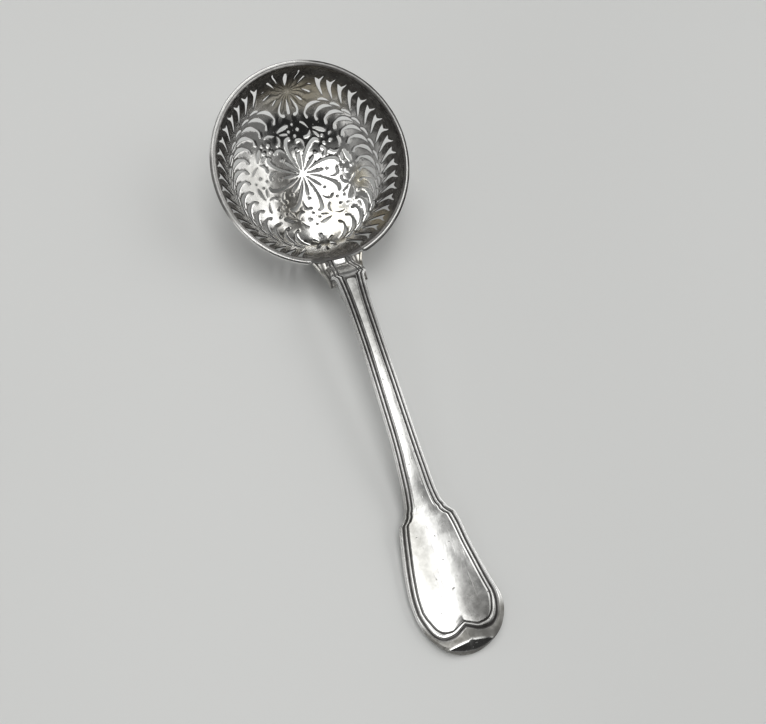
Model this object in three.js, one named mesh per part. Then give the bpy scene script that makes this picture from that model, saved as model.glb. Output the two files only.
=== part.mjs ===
import * as THREE from "three";

// A pierced sifter spoon at rest on a table. Sizes are in millimetres and angles in degrees.
// X runs along the handle to its tip, Y across it and Z up. The table is the plane Z = 0.
// The bowl has its own frame, centred on the rim and tilted towards the handle.

// Bowl, measured on the outside of its sheet
const BOWL_RADIUS = 33.5;
const BOWL_DEPTH = 21.6;
const BOWL_FULLNESS = 2.2;
const BOWL_TILT = 20.2;
const SHEET_THICKNESS = 0.9;
const REST_WEAR_DEPTH = 0.12;
const SEAM_GAP = 0.3;

// Moulded strip outside the rim, open where the handle joins
const STRIP_THICKNESS = 1.0;
const STRIP_HEIGHT = 2.1;
const STRIP_RELIEF = 0.5;
const STRIP_ACROSS_SHARES = [0, 0.25, 0.5, 0.75, 1];
const STRIP_TOP_SHARES = [0, 0.35, 0.35, 0, -0.9];
const STRIP_BOTTOM_SHARES = [0, -0.25, -0.2, 0.1, 1];

// Handle: a ramp up from the rim, the arched stem and the fiddle end
const RAMP_LENGTH = 9.3;
const RAMP_RISE = 6.6;
const STEM_LENGTH = 80;
const FIDDLE_LENGTH = 51.1;
const ROUND_END_LENGTH = 17.1;
const SHOULDER_HEIGHT = 6.6;
const FIDDLE_HEIGHT = 3.0;
const TIP_HEIGHT = 1.7;
const HEAD_HALF_WIDTH = 6.2;
const ROOT_HALF_WIDTH = 5.2;
const STEM_HALF_WIDTH = 4.25;
const FIDDLE_HALF_WIDTH = 14.96;
const HEAD_THICKNESS = 0.8;
const ROOT_THICKNESS = 3.7;
const STEM_THICKNESS = 3.4;
const SHOULDER_THICKNESS = 2.6;
const FIDDLE_THICKNESS = 2.25;
const TIP_THICKNESS = 3.6;
const STEM_THREAD_PITCH = 1.05;
const FIDDLE_THREAD_PITCH = 1.5;
const THREAD_DEPTH = 0.45;
const EDGE_ROUNDING = 0.4;
const PANEL_CROWN = 0.35;
const RAMP_RECESS = 0.75;

// Wing plate under the head of the handle
const WING_HALF_WIDTH = 9.3;
const WING_END_HALF_WIDTH = 6.0;
const WING_LENGTH = 10.7;
const WING_THICKNESS = 1.5;
const WING_SWEEP = 2.2;
const WING_SEAM = 0.54;

// Drop down the back of the bowl
const DROP_LENGTH = 11;
const DROP_HALF_WIDTH = 4.7;
const DROP_THICKNESS = 1.4;
const DROP_WIDTH_SHARES = [0.94, 1, 1, 0.95, 0.85, 0.7, 0.48, 0.2];
const DROP_THICKNESS_SHARES = [1, 1, 0.95, 0.85, 0.75, 0.62, 0.5, 0.4];

// Counts
const RIM_SEGMENTS = 96;
const STRIP_SEGMENTS = 84;
const MERIDIAN_STEPS = 600;
const DOT_SIDES = 6;
const WING_ROWS = 12;
const WING_COLUMNS = 8;
const DROP_COLUMNS = 6;

// Piercing, drawn on the sheet unrolled from the bottom of the bowl to the rim.
// Rows are [across, out, width] in pattern units, a share of the way to the rim. A stroke starts
// at a point, and a dot's last number is its radius.
const PATTERN_UNIT_SHARE = 0.2303;
const FIELD_EDGE_SHARE = 0.935;
const PLAIN_ROWS_SHARES = [0.45, 1];

// Daisy in the middle with sprigs between its petals
const FOLDS = 8;
const PETAL_SHARES = [[0, 0.26], [0, 0.4, 0.075], [0, 0.56, 0.1], [0, 0.73, 0.06]];
const BUD_SHARES = [-0.01, 0.885, 0.052];
const DIAMOND_SHARES = [
  [0.01, 1.84, 0.042],
  [-0.165, 1.6, 0.05],
  [0.175, 1.63, 0.06],
  [0.03, 1.415, 0.05],
];
const TRUNK_SHARES = [
  [-0.03, 0.36],
  [-0.03, 0.6, 0.07],
  [0, 0.9, 0.095],
  [0.07, 1.15, 0.11],
  [0.19, 1.325, 0.135],
  [0.31, 1.345, 0.11],
];
const CURL_SHARES = [[-0.09, 0.95], [-0.17, 1.12, 0.07], [-0.29, 1.205, 0.09], [-0.42, 1.165, 0.11]];
const TENDRIL_SHARES = [[-0.06, 1.7], [-0.26, 1.83, 0.065], [-0.4, 1.86, 0.05]];
const BLADE_SHARES = [[0.05, 1.755], [0.22, 1.765, 0.1], [0.4, 1.755, 0.13], [0.53, 1.74, 0.08]];
const BARB_SHARES = [[-0.01, 1.655], [0, 1.53, 0.075], [-0.05, 1.42, 0.08], [-0.15, 1.35, 0.09]];
const SLIP_SHARES = [[0.1, 1.64], [0.21, 1.575, 0.075], [0.34, 1.5, 0.07]];

// Swept hooks along the inner side of the garland, with a slit beyond each
const HOOK_STEP = 10;
const HOOK_FIRST = 17;
const HOOK_COUNT = 15;
const HOOK_SHARES = [
  [0.53, 2.68],
  [0.34, 2.665, 0.08],
  [0.16, 2.6, 0.13],
  [0.03, 2.485, 0.13],
  [-0.045, 2.34, 0.075],
  [-0.065, 2.2, 0.07],
  [0.02, 2.085, 0.095],
];
const SLIT_FIRST = 27;
const SLIT_COUNT = 14;
const SLIT_SHARES = [[0.3, 2.855], [0.14, 2.86, 0.045], [-0.02, 2.83, 0.045]];

// Forked leaves along the outer side of the garland, as a closed outline
const LEAF_STEP = 7.6;
const LEAF_FIRST = 22.5;
const LEAF_COUNT = 19;
const LEAF_OUTLINE_SHARES = [
  [0.22, 3.055],
  [0.02, 3.27],
  [-0.13, 3.45],
  [-0.195, 3.59],
  [-0.055, 3.555],
  [0.115, 3.8],
  [0.155, 3.76],
  [0.075, 3.52],
  [0.125, 3.27],
];

// Flower at the far end of the garland, then the small one at the handle
const FAR_AXIS_SHARES = [
  [[0, 3.24], [0, 3.42, 0.12], [0, 3.62, 0.17], [0, 3.8, 0.1]],
  [[0, 2.7], [0, 2.52, 0.08], [0, 2.36, 0.12], [0, 2.26, 0.11]],
];
const FAR_SIDE_SHARES = [
  [[0.2, 2.72], [0.3, 2.52, 0.07], [0.345, 2.34, 0.08], [0.3, 2.22, 0.09], [0.21, 2.18, 0.12]],
  [[0.32, 3.36], [0.42, 3.56, 0.05], [0.54, 3.74, 0.06], [0.58, 3.9, 0.08]],
  [[0.42, 3.2], [0.6, 3.38, 0.065], [0.76, 3.53, 0.09]],
  [[0.34, 2.85], [0.46, 2.74, 0.06], [0.55, 2.64, 0.07]],
  [[0.56, 3.06], [0.74, 2.97, 0.06], [0.9, 2.87, 0.08]],
  [[0.8, 3.22], [0.92, 3.18, 0.06], [0.99, 3.15, 0.05]],
];
const NEAR_AXIS_SHARES = [
  [[0, 2.86], [0, 2.97, 0.09], [0, 3.07, 0.09]],
  [[0, 2.46], [0, 2.36, 0.09], [0, 2.25, 0.11]],
];
const NEAR_SIDE_SHARES = [
  [[0.17, 2.74], [0.28, 2.84, 0.08], [0.36, 2.91, 0.09]],
  [[0.17, 2.58], [0.28, 2.5, 0.08], [0.36, 2.44, 0.09]],
];

// Top line of the handle: [along the section, rise or fall to the section's end height]
const RAMP_TOP_SHARES = [[0, 0.01], [0.25, 0.16], [0.46, 0.43], [0.68, 0.77], [0.85, 0.95], [1, 1]];
const STEM_TOP_SHARES = [
  [0.05, 0.02],
  [0.11, 0.05],
  [0.24, 0.11],
  [0.36, 0.19],
  [0.49, 0.295],
  [0.61, 0.415],
  [0.74, 0.56],
  [0.86, 0.75],
  [1, 1],
];
const FIDDLE_TOP_SHARES = [[0.18, 0.5], [0.37, 0.83], [0.57, 0.98], [0.76, 1]];
const TIP_TOP_SHARES = [[0.88, 0.02], [0.94, 0.42], [1, 1]];

// Outline: [along the section, share of the head's half width, or from one half width to the next]
const HEAD_OUTLINE_SHARES = [
  [0, 0.81],
  [0.12, 0.815],
  [0.25, 0.83],
  [0.4, 0.86],
  [0.55, 0.9],
  [0.7, 0.94],
  [0.83, 0.97],
  [0.91, 0.99],
  [0.96, 1],
];
const STEM_OUTLINE_SHARES = [
  [0.01, 1],
  [0.04, 0.6],
  [0.09, 0.3],
  [0.15, 0.1],
  [0.24, 0.01],
  [0.35, 0],
];
const FIDDLE_OUTLINE_SHARES = [
  [-0.82, 0.016],
  [-0.62, 0.03],
  [-0.45, 0.045],
  [-0.32, 0.07],
  [-0.22, 0.1],
  [-0.12, 0.13],
  [-0.05, 0.17],
  [0, 0.215],
  [0.02, 0.25],
  [0.04, 0.3],
  [0.06, 0.34],
  [0.085, 0.44],
  [0.105, 0.53],
  [0.13, 0.57],
  [0.18, 0.63],
  [0.27, 0.72],
  [0.37, 0.82],
  [0.47, 0.905],
  [0.57, 0.975],
  [0.66, 1],
];
// Round end: quarter turn of the outline, then the outer groove, the inner groove and the panel's
// middle, as shares of the end's length and of its half width
const ROUND_END_SHARES = [
  [0.13, [0.13, 0.87], [0.11, 0.77], 0.1],
  [0.25, [0.27, 0.83], [0.22, 0.725], 0.17],
  [0.37, [0.42, 0.765], [0.34, 0.67], 0.22],
  [0.48, [0.53, 0.67], [0.43, 0.59], 0.25],
  [0.58, [0.59, 0.56], [0.475, 0.51], 0.265],
  [0.68, [0.605, 0.45], [0.49, 0.42], 0.28],
  [0.77, [0.595, 0.345], [0.48, 0.33], 0.29],
  [0.85, [0.56, 0.245], [0.445, 0.24], 0.3],
  [0.92, [0.51, 0.155], [0.4, 0.155], 0.305],
  [0.97, [0.465, 0.07], [0.36, 0.07], 0.31],
  [1, [0.43, 0], [0.34, 0], 0.315],
];

// Cross-section of the handle, from the edge to the middle of the panel
const BEAD_SHARE = 0.45;
const INNER_BEAD_SHARE = 0.5;
const PANEL_EDGE_SHARE = 0.08;
const PANEL_START_SHARE = 0.87;
const DEEPEST_CUT_SHARE = 0.3;
const UNDERSIDE_SHARES = [0.42, 0.76, 0.88, 0.95, 1, 1, 1];

const { clamp, degToRad, lerp, smoothstep } = THREE.MathUtils;

function silver(color, roughness) {
  return new THREE.MeshStandardMaterial({ color, metalness: 1, roughness });
}

// The sheet's middle surface, from the bottom of the bowl up to the rim.
const halfSheet = SHEET_THICKNESS / 2;
const meridian = [];
for (let i = 0; i <= MERIDIAN_STEPS; i++) {
  const angle = (Math.PI / 2) * (i / MERIDIAN_STEPS);
  const across = Math.sin(angle);
  const down = Math.cos(angle);
  const reach = (across ** BOWL_FULLNESS + down ** BOWL_FULLNESS) ** (-1 / BOWL_FULLNESS);
  const radius = (BOWL_RADIUS - halfSheet) * reach * across;
  const depth = (BOWL_DEPTH - halfSheet) * reach * down;
  const last = meridian[i - 1];
  const along = last ? last.along + Math.hypot(radius - last.radius, depth - last.depth) : 0;
  meridian.push({ along, radius, depth });
}
const meridianLength = meridian[MERIDIAN_STEPS].along;
const patternUnit = meridianLength * PATTERN_UNIT_SHARE;

// A point in the bowl's frame: so far along the sheet from its bottom, and off its middle surface.
function sheetPoint(along, turn, offset) {
  let i = 1;
  while (i < MERIDIAN_STEPS && meridian[i].along < along) i++;
  const a = meridian[i - 1];
  const b = meridian[i];
  const step = b.along - a.along;
  const t = (along - a.along) / step;
  const radius = lerp(a.radius, b.radius, t) + (offset * (a.depth - b.depth)) / step;
  const height = -lerp(a.depth, b.depth, t) - (offset * (b.radius - a.radius)) / step;
  return new THREE.Vector3(radius * Math.cos(turn), radius * Math.sin(turn), height);
}

// The bowl's frame tilts to the handle and sinks until the table wears the sheet.
const tiltedBowl = new THREE.Group();
tiltedBowl.rotation.y = degToRad(BOWL_TILT);
tiltedBowl.updateMatrix();
const undersideHeights = meridian.map(({ along }) => {
  return sheetPoint(along, 0, halfSheet).applyMatrix4(tiltedBowl.matrix).z;
});
tiltedBowl.position.z = -Math.min(...undersideHeights) - REST_WEAR_DEPTH;
tiltedBowl.updateMatrix();

// A point in the bowl's frame, lifted to the table if it would be below it.
function wornFlat(point) {
  const height = point.clone().applyMatrix4(tiltedBowl.matrix).z;
  const up = new THREE.Vector3(-Math.sin(tiltedBowl.rotation.y), 0, Math.cos(tiltedBowl.rotation.y));
  return point.addScaledVector(up, Math.max(-height, 0));
}

// A smooth value between the rows [place, value] of a table.
function between(rows, place) {
  let i = 0;
  while (i < rows.length - 2 && rows[i + 1][0] < place) i++;
  const slope = (a, b) => (rows[b][1] - rows[a][1]) / (rows[b][0] - rows[a][0]);
  const step = rows[i + 1][0] - rows[i][0];
  const t = clamp((place - rows[i][0]) / step, 0, 1);
  const m0 = slope(Math.max(i - 1, 0), i + 1) * step;
  const m1 = slope(i, Math.min(i + 2, rows.length - 1)) * step;
  const rise = rows[i + 1][1] - rows[i][1];
  return rows[i][1] + t * (m0 + t * (3 * rise - 2 * m0 - m1 + t * (m0 + m1 - 2 * rise)));
}

// A closed body between an upper and a lower skin that share one set of faces,
// counter-clockwise seen from above. Every open edge gets a wall.
function slab(name, material, upper, lower, faces) {
  const count = upper.length;
  const edges = new Set(faces.flatMap(([a, b, c]) => [a * count + b, b * count + c, c * count + a]));
  const index = [];
  for (const [a, b, c] of faces) {
    index.push(a, b, c, c + count, b + count, a + count);
    for (const [from, to] of [[a, b], [b, c], [c, a]]) {
      if (edges.has(to * count + from)) continue;
      index.push(to, from, from + count, to, from + count, to + count);
    }
  }
  const geometry = new THREE.BufferGeometry().setFromPoints([...upper, ...lower]);
  geometry.setIndex(index);
  geometry.computeVertexNormals();
  const mesh = new THREE.Mesh(geometry, material);
  mesh.name = name;
  return mesh;
}

// Two faces between a pair of points in one row and the next, counter-clockwise when rows run
// right and columns run up. Their diagonals mirror each other about the middle column.
function pairFaces([a, nextA], [b, nextB], leftHalf) {
  return leftHalf ? [[a, b, nextB], [a, nextB, nextA]] : [[a, b, nextA], [b, nextB, nextA]];
}

function gridFaces(rows, columns) {
  const faces = [];
  for (let i = 0; i < rows - 1; i++) {
    for (let j = 0; j < columns - 1; j++) {
      const a = i * columns + j;
      const b = a + columns;
      faces.push(...pairFaces([a, a + 1], [b, b + 1], j < (columns - 1) / 2));
    }
  }
  return faces;
}

// A tapered stroke along rows [across, out, width]: a point at its start and a round end.
function stroke(rows) {
  const spine = rows.map(([x, y]) => new THREE.Vector2(x, y));
  const left = [];
  const right = [];
  for (let i = 1; i < rows.length; i++) {
    const next = spine[Math.min(i + 1, rows.length - 1)];
    const along = next.clone().sub(spine[i - 1]).normalize();
    const side = new THREE.Vector2(-along.y, along.x).multiplyScalar(rows[i][2] / 2);
    left.push(spine[i].clone().add(side));
    right.unshift(spine[i].clone().sub(side));
  }
  const end = spine[rows.length - 1];
  const cap = end.clone().sub(spine[rows.length - 2]).setLength(rows[rows.length - 1][2] / 2).add(end);
  return [spine[0], ...left, cap, ...right];
}

function dot([x, y, radius]) {
  const points = [];
  for (let i = 0; i < DOT_SIDES; i++) {
    const turn = (2 * Math.PI * i) / DOT_SIDES;
    points.push(new THREE.Vector2(x + radius * Math.cos(turn), y + radius * Math.sin(turn)));
  }
  return points;
}

// A drawn shape on the unrolled sheet, turned clockwise from the far side. Hand -1 mirrors it.
// On the sheet X points to the handle and Y to the left of it.
function placed(points, turn, hand) {
  const c = Math.cos(degToRad(turn)) * patternUnit;
  const s = Math.sin(degToRad(turn)) * patternUnit;
  return points.map(({ x, y }) => new THREE.Vector2(x * s - y * c, (x * c + y * s) * hand));
}

function piercing() {
  const holes = [];
  const sprig = [TRUNK_SHARES, CURL_SHARES, TENDRIL_SHARES, BLADE_SHARES, BARB_SHARES, SLIP_SHARES];
  for (let k = 0; k < FOLDS; k++) {
    const ray = (360 / FOLDS) * k;
    holes.push(placed(stroke(PETAL_SHARES), ray, 1));
    for (const row of [BUD_SHARES, ...DIAMOND_SHARES]) holes.push(placed(dot(row), ray, 1));
    for (const rows of sprig) holes.push(placed(stroke(rows), ray + 180 / FOLDS, 1));
  }
  const leaf = LEAF_OUTLINE_SHARES.map(([x, y]) => new THREE.Vector2(x, y));
  for (const hand of [-1, 1]) {
    for (let k = 0; k < HOOK_COUNT; k++) {
      holes.push(placed(stroke(HOOK_SHARES), HOOK_FIRST + HOOK_STEP * k, hand));
    }
    for (let k = 0; k < SLIT_COUNT; k++) {
      holes.push(placed(stroke(SLIT_SHARES), SLIT_FIRST + HOOK_STEP * k, hand));
    }
    for (let k = 0; k < LEAF_COUNT; k++) {
      holes.push(placed(leaf, LEAF_FIRST + LEAF_STEP * k, hand));
    }
    for (const rows of FAR_SIDE_SHARES) holes.push(placed(stroke(rows), 0, hand));
    for (const rows of NEAR_SIDE_SHARES) holes.push(placed(stroke(rows), 180, hand));
  }
  for (const rows of FAR_AXIS_SHARES) holes.push(placed(stroke(rows), 0, 1));
  for (const rows of NEAR_AXIS_SHARES) holes.push(placed(stroke(rows), 180, 1));
  return holes;
}

// Swaps the shared edge of pairs of triangles until none is longer and thinner than it need be.
function evened(points, triangles) {
  const count = points.length;
  const faces = triangles.map(([a, b, c]) => {
    const turn = points[b].clone().sub(points[a]).cross(points[c].clone().sub(points[a]));
    return turn > 0 ? [a, b, c] : [a, c, b];
  });
  const owner = new Map();
  const claim = (face) => {
    const [a, b, c] = faces[face];
    owner.set(a * count + b, face).set(b * count + c, face).set(c * count + a, face);
  };
  faces.forEach((_, face) => claim(face));
  const angleAt = (corner, a, b) => {
    const u = points[a].clone().sub(points[corner]);
    const v = points[b].clone().sub(points[corner]);
    return Math.atan2(Math.abs(u.cross(v)), u.dot(v));
  };
  const queue = [...owner.keys()];
  while (queue.length) {
    const edge = queue.pop();
    const a = Math.floor(edge / count);
    const b = edge % count;
    const one = owner.get(edge);
    const two = owner.get(b * count + a);
    if (one === undefined || two === undefined) continue;
    const [c, d] = [one, two].map((face) => faces[face].find((corner) => corner !== a && corner !== b));
    if (angleAt(c, a, b) + angleAt(d, a, b) <= Math.PI * 1.000001) continue;
    owner.delete(edge);
    owner.delete(b * count + a);
    faces[one] = [a, d, c];
    faces[two] = [d, b, c];
    claim(one);
    claim(two);
    queue.push(a * count + d, d * count + b, b * count + c, c * count + a);
  }
  return faces;
}

function ring(radius, count) {
  const points = [];
  for (let i = 0; i < count; i++) {
    const turn = (2 * Math.PI * i) / count;
    points.push(new THREE.Vector2(radius * Math.cos(turn), radius * Math.sin(turn)));
  }
  return points;
}

// Pierced bowl: the unrolled field of holes, then plain rows up to the rim.
function bowl() {
  const field = ring(meridianLength * FIELD_EDGE_SHARE, RIM_SEGMENTS);
  const holes = piercing();
  const flat = [...field, ...holes.flat()];
  const faces = evened(flat, THREE.ShapeUtils.triangulateShape(field, holes));
  let inner = 0;
  for (const share of PLAIN_ROWS_SHARES) {
    const outer = flat.length;
    flat.push(...ring(meridianLength * lerp(FIELD_EDGE_SHARE, 1, share), RIM_SEGMENTS));
    for (let i = 0; i < RIM_SEGMENTS; i++) {
      const j = (i + 1) % RIM_SEGMENTS;
      faces.push([inner + i, outer + i, outer + j], [inner + i, outer + j, inner + j]);
    }
    inner = outer;
  }
  const skin = (offset) => flat.map((p) => wornFlat(sheetPoint(p.length(), p.angle(), offset)));
  return slab("bowl", silver(0xc8c6c0, 0.22), skin(-halfSheet), skin(halfSheet), faces);
}

// Moulded strip round the outside of the rim, from one wing of the handle's plate to the other.
const stripInside = BOWL_RADIUS + SEAM_GAP;
const wingTurn = Math.asin(WING_HALF_WIDTH / stripInside);
function rimStrip() {
  const upper = [];
  const lower = [];
  const first = wingTurn + SEAM_GAP / stripInside;
  for (let i = 0; i <= STRIP_SEGMENTS; i++) {
    const turn = lerp(2 * Math.PI - first, first, i / STRIP_SEGMENTS);
    STRIP_ACROSS_SHARES.forEach((share, j) => {
      const radius = stripInside + STRIP_THICKNESS * share;
      const x = radius * Math.cos(turn);
      const y = radius * Math.sin(turn);
      upper.push(new THREE.Vector3(x, y, STRIP_TOP_SHARES[j] * STRIP_RELIEF));
      lower.push(new THREE.Vector3(x, y, STRIP_BOTTOM_SHARES[j] * STRIP_RELIEF - STRIP_HEIGHT));
    });
  }
  const faces = gridFaces(STRIP_SEGMENTS + 1, STRIP_ACROSS_SHARES.length);
  return slab("rim_strip", silver(0xd0cec8, 0.2), upper, lower, faces);
}

// Rounded drop on the back of the bowl, under the wing plate.
function backDrop() {
  const near = [];
  const far = [];
  const rows = DROP_WIDTH_SHARES.length;
  const plateUnderside = HEAD_THICKNESS + WING_SEAM + WING_THICKNESS;
  for (let i = rows - 1; i >= 0; i--) {
    const out = meridianLength - plateUnderside - 2 * SEAM_GAP - (DROP_LENGTH * i) / (rows - 1);
    for (let j = 0; j <= DROP_COLUMNS; j++) {
      const across = DROP_HALF_WIDTH * DROP_WIDTH_SHARES[i] * ((2 * j) / DROP_COLUMNS - 1);
      const turn = Math.atan2(across, out);
      const seat = halfSheet + SEAM_GAP;
      near.push(sheetPoint(out, turn, seat));
      far.push(sheetPoint(out, turn, seat + DROP_THICKNESS * DROP_THICKNESS_SHARES[i]));
    }
  }
  return slab("back_drop", silver(0xb8b4aa, 0.35), near, far, gridFaces(rows, DROP_COLUMNS + 1));
}

// Lines along the handle, as rows [distance from the rim, value].
const rimEdge = new THREE.Vector3(stripInside, 0, 0).applyMatrix4(tiltedBowl.matrix);
const crestHeight = rimEdge.z + RAMP_RISE;
const shoulderAt = RAMP_LENGTH + STEM_LENGTH;
const tipAt = shoulderAt + FIDDLE_LENGTH;
const roundEndAt = tipAt - ROUND_END_LENGTH;
const section = (start, length, rows, from, to) =>
  rows.map(([along, share]) => [start + length * along, lerp(from, to, share)]);
const topLine = [
  ...section(0, RAMP_LENGTH, RAMP_TOP_SHARES, rimEdge.z, crestHeight),
  ...section(RAMP_LENGTH, STEM_LENGTH, STEM_TOP_SHARES, crestHeight, SHOULDER_HEIGHT),
  ...section(shoulderAt, FIDDLE_LENGTH, FIDDLE_TOP_SHARES, SHOULDER_HEIGHT, FIDDLE_HEIGHT),
  ...section(shoulderAt, FIDDLE_LENGTH, TIP_TOP_SHARES, FIDDLE_HEIGHT, TIP_HEIGHT),
];
const thicknessLine = [
  [0, HEAD_THICKNESS],
  [RAMP_LENGTH, ROOT_THICKNESS],
  [RAMP_LENGTH + STEM_LENGTH / 2, STEM_THICKNESS],
  [shoulderAt, SHOULDER_THICKNESS],
  [(shoulderAt + roundEndAt) / 2, FIDDLE_THICKNESS],
  [roundEndAt, FIDDLE_THICKNESS],
  [(roundEndAt + tipAt) / 2, TIP_THICKNESS],
  [tipAt, TIP_THICKNESS],
];
const outline = [
  ...section(0, RAMP_LENGTH, HEAD_OUTLINE_SHARES, 0, HEAD_HALF_WIDTH),
  ...section(RAMP_LENGTH, STEM_LENGTH, STEM_OUTLINE_SHARES, STEM_HALF_WIDTH, ROOT_HALF_WIDTH),
  ...section(shoulderAt, FIDDLE_LENGTH, FIDDLE_OUTLINE_SHARES, STEM_HALF_WIDTH, FIDDLE_HALF_WIDTH),
];
const undersideHeight = (x) => between(topLine, x) - between(thicknessLine, x);

// Threaded fiddle handle. Columns run from the right edge over the panel to the left edge.
function handle() {
  const rows = outline.map(([x, half]) => {
    const growth = (half - STEM_HALF_WIDTH) / (FIDDLE_HALF_WIDTH - STEM_HALF_WIDTH);
    const pitch = lerp(STEM_THREAD_PITCH, FIDDLE_THREAD_PITCH, clamp(growth, 0, 1));
    const across = [half, half - pitch, half - 2 * pitch, 0];
    return across.map((y) => new THREE.Vector2(x, y));
  });
  for (const [turn, outerGroove, innerGroove, middle] of ROUND_END_SHARES) {
    const angle = (Math.PI / 2) * turn;
    const places = [[Math.sin(angle), turn < 1 ? Math.cos(angle) : 0], outerGroove, innerGroove, [middle, 0]];
    rows.push(places.map(([along, across]) => {
      return new THREE.Vector2(roundEndAt + ROUND_END_LENGTH * along, FIDDLE_HALF_WIDTH * across);
    }));
  }
  const upper = [];
  const lower = [];
  rows.forEach(([edge, outerGroove, innerGroove, middle], i) => {
    const onRamp = edge.x < RAMP_LENGTH * PANEL_START_SHARE;
    const panel = onRamp ? -RAMP_RECESS : 0;
    const crown = onRamp ? -RAMP_RECESS : (PANEL_CROWN * innerGroove.y) / FIDDLE_HALF_WIDTH;
    const half = [
      [edge, -EDGE_ROUNDING],
      [edge.clone().lerp(outerGroove, BEAD_SHARE), 0],
      [outerGroove, -THREAD_DEPTH],
      [outerGroove.clone().lerp(innerGroove, INNER_BEAD_SHARE), 0],
      [innerGroove, -THREAD_DEPTH],
      [innerGroove.clone().lerp(middle, PANEL_EDGE_SHARE), panel],
      [middle, crown],
    ];
    const add = (column, side) => {
      const [{ x, y }, relief] = half[column];
      const thickness = between(thicknessLine, x);
      const top = between(topLine, x) + Math.max(relief, -thickness * DEEPEST_CUT_SHARE);
      const rounding = smoothstep(x, WING_LENGTH, WING_LENGTH + RAMP_LENGTH);
      const bottom = between(topLine, x) - thickness * lerp(1, UNDERSIDE_SHARES[column], rounding);
      upper.push(new THREE.Vector3(x, side * y, top));
      lower.push(new THREE.Vector3(x, side * y, Math.max(bottom, 0)));
    };
    for (let column = 0; column < half.length; column++) add(column, -1);
    if (i === rows.length - 1) return;
    for (let column = half.length - 2; column >= 0; column--) add(column, 1);
  });
  // The last row lies on the axis and serves both sides.
  const columns = 2 * UNDERSIDE_SHARES.length - 1;
  const faces = gridFaces(rows.length - 1, columns);
  const before = (rows.length - 2) * columns;
  const end = before + columns;
  for (let j = 0; j < columns - 1; j++) {
    const tip = [end + Math.min(j, columns - 1 - j), end + Math.min(j + 1, columns - 2 - j)];
    faces.push(...pairFaces([before + j, before + j + 1], tip, j < (columns - 1) / 2));
  }
  return slab("handle", silver(0xd2d1ce, 0.24), upper, lower, faces);
}

// Plate that spreads from under the head of the handle into two wings along the rim.
function wingPlate() {
  const upper = [];
  const lower = [];
  for (let i = 0; i < WING_ROWS; i++) {
    const t = i / (WING_ROWS - 1);
    const narrowing = 1 - (1 - t) ** WING_SWEEP;
    for (let j = 0; j <= WING_COLUMNS; j++) {
      const side = (2 * j) / WING_COLUMNS - 1;
      const turn = wingTurn * side;
      const rim = new THREE.Vector3(stripInside * Math.cos(turn), stripInside * Math.sin(turn), 0);
      rim.applyMatrix4(tiltedBowl.matrix);
      const x = lerp(rim.x - rimEdge.x, WING_LENGTH, t);
      const y = lerp(rim.y, WING_END_HALF_WIDTH * side, narrowing);
      const z = undersideHeight(x) - WING_SEAM + (rim.z - rimEdge.z) * (1 - t);
      upper.push(new THREE.Vector3(x, y, z));
      lower.push(new THREE.Vector3(x, y, z - WING_THICKNESS));
    }
  }
  const faces = gridFaces(WING_ROWS, WING_COLUMNS + 1);
  return slab("wing_plate", silver(0xbfbbb1, 0.32), upper, lower, faces);
}

// The handle and its plate start at the near side of the rim.
tiltedBowl.add(bowl(), rimStrip(), backDrop());
const stem = new THREE.Group();
stem.position.x = rimEdge.x;
stem.add(handle(), wingPlate());
const spoon = new THREE.Group();
spoon.add(tiltedBowl, stem);
const box = new THREE.Box3().setFromObject(spoon, true);
spoon.position.x = -(box.min.x + box.max.x) / 2;

export default spoon;
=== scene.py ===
import math

import bpy
import numpy as np
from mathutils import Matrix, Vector, noise
from mathutils.geometry import delaunay_2d_cdt


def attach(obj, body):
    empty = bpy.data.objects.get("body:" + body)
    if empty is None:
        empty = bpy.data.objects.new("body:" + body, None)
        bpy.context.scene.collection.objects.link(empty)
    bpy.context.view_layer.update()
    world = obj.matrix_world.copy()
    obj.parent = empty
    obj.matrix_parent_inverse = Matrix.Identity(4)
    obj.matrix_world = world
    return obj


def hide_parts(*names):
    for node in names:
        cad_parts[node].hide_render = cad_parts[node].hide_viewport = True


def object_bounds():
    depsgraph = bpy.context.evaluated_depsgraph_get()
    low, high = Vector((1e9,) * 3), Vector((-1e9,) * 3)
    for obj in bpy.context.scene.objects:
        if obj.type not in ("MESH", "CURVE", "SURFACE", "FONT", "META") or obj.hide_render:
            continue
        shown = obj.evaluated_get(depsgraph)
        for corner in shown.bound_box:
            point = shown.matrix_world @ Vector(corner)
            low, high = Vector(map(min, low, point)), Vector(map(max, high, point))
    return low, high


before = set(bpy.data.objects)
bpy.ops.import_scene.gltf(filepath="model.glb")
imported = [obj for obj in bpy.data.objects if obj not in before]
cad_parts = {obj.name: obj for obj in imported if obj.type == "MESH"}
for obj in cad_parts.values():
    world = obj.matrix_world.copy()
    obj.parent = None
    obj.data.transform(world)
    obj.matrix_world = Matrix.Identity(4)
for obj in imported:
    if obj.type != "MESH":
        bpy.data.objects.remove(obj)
cad_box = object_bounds()
scene = bpy.context.scene
join = np.concatenate

# Sizes are in millimetres and angles in degrees until a mesh is made, in the frame of the solids:
# X along the handle to its tip, Y across it, Z up, and the table at Z = 0.
MM = 0.001

# Bowl, measured on the outside of its sheet. Rows of the hammering are (height, size, seed).
BOWL_RADIUS = 33.5
BOWL_DEPTH = 21.6
BOWL_FULLNESS = 2.2
BOWL_TILT = 20.2
SHEET_THICKNESS = 0.9
REST_WEAR_DEPTH = 0.12
HOLE_BEVEL = 0.07
HOLE_BEVEL_DEPTH = 0.1
RIM_ROUNDING = 0.12
WALL_THINNING = 0.3
HAMMERING = [(0.05, 9.0, 3.1), (0.02, 3.6, 7.7)]
OWN_NORMALS = 0.4

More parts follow.
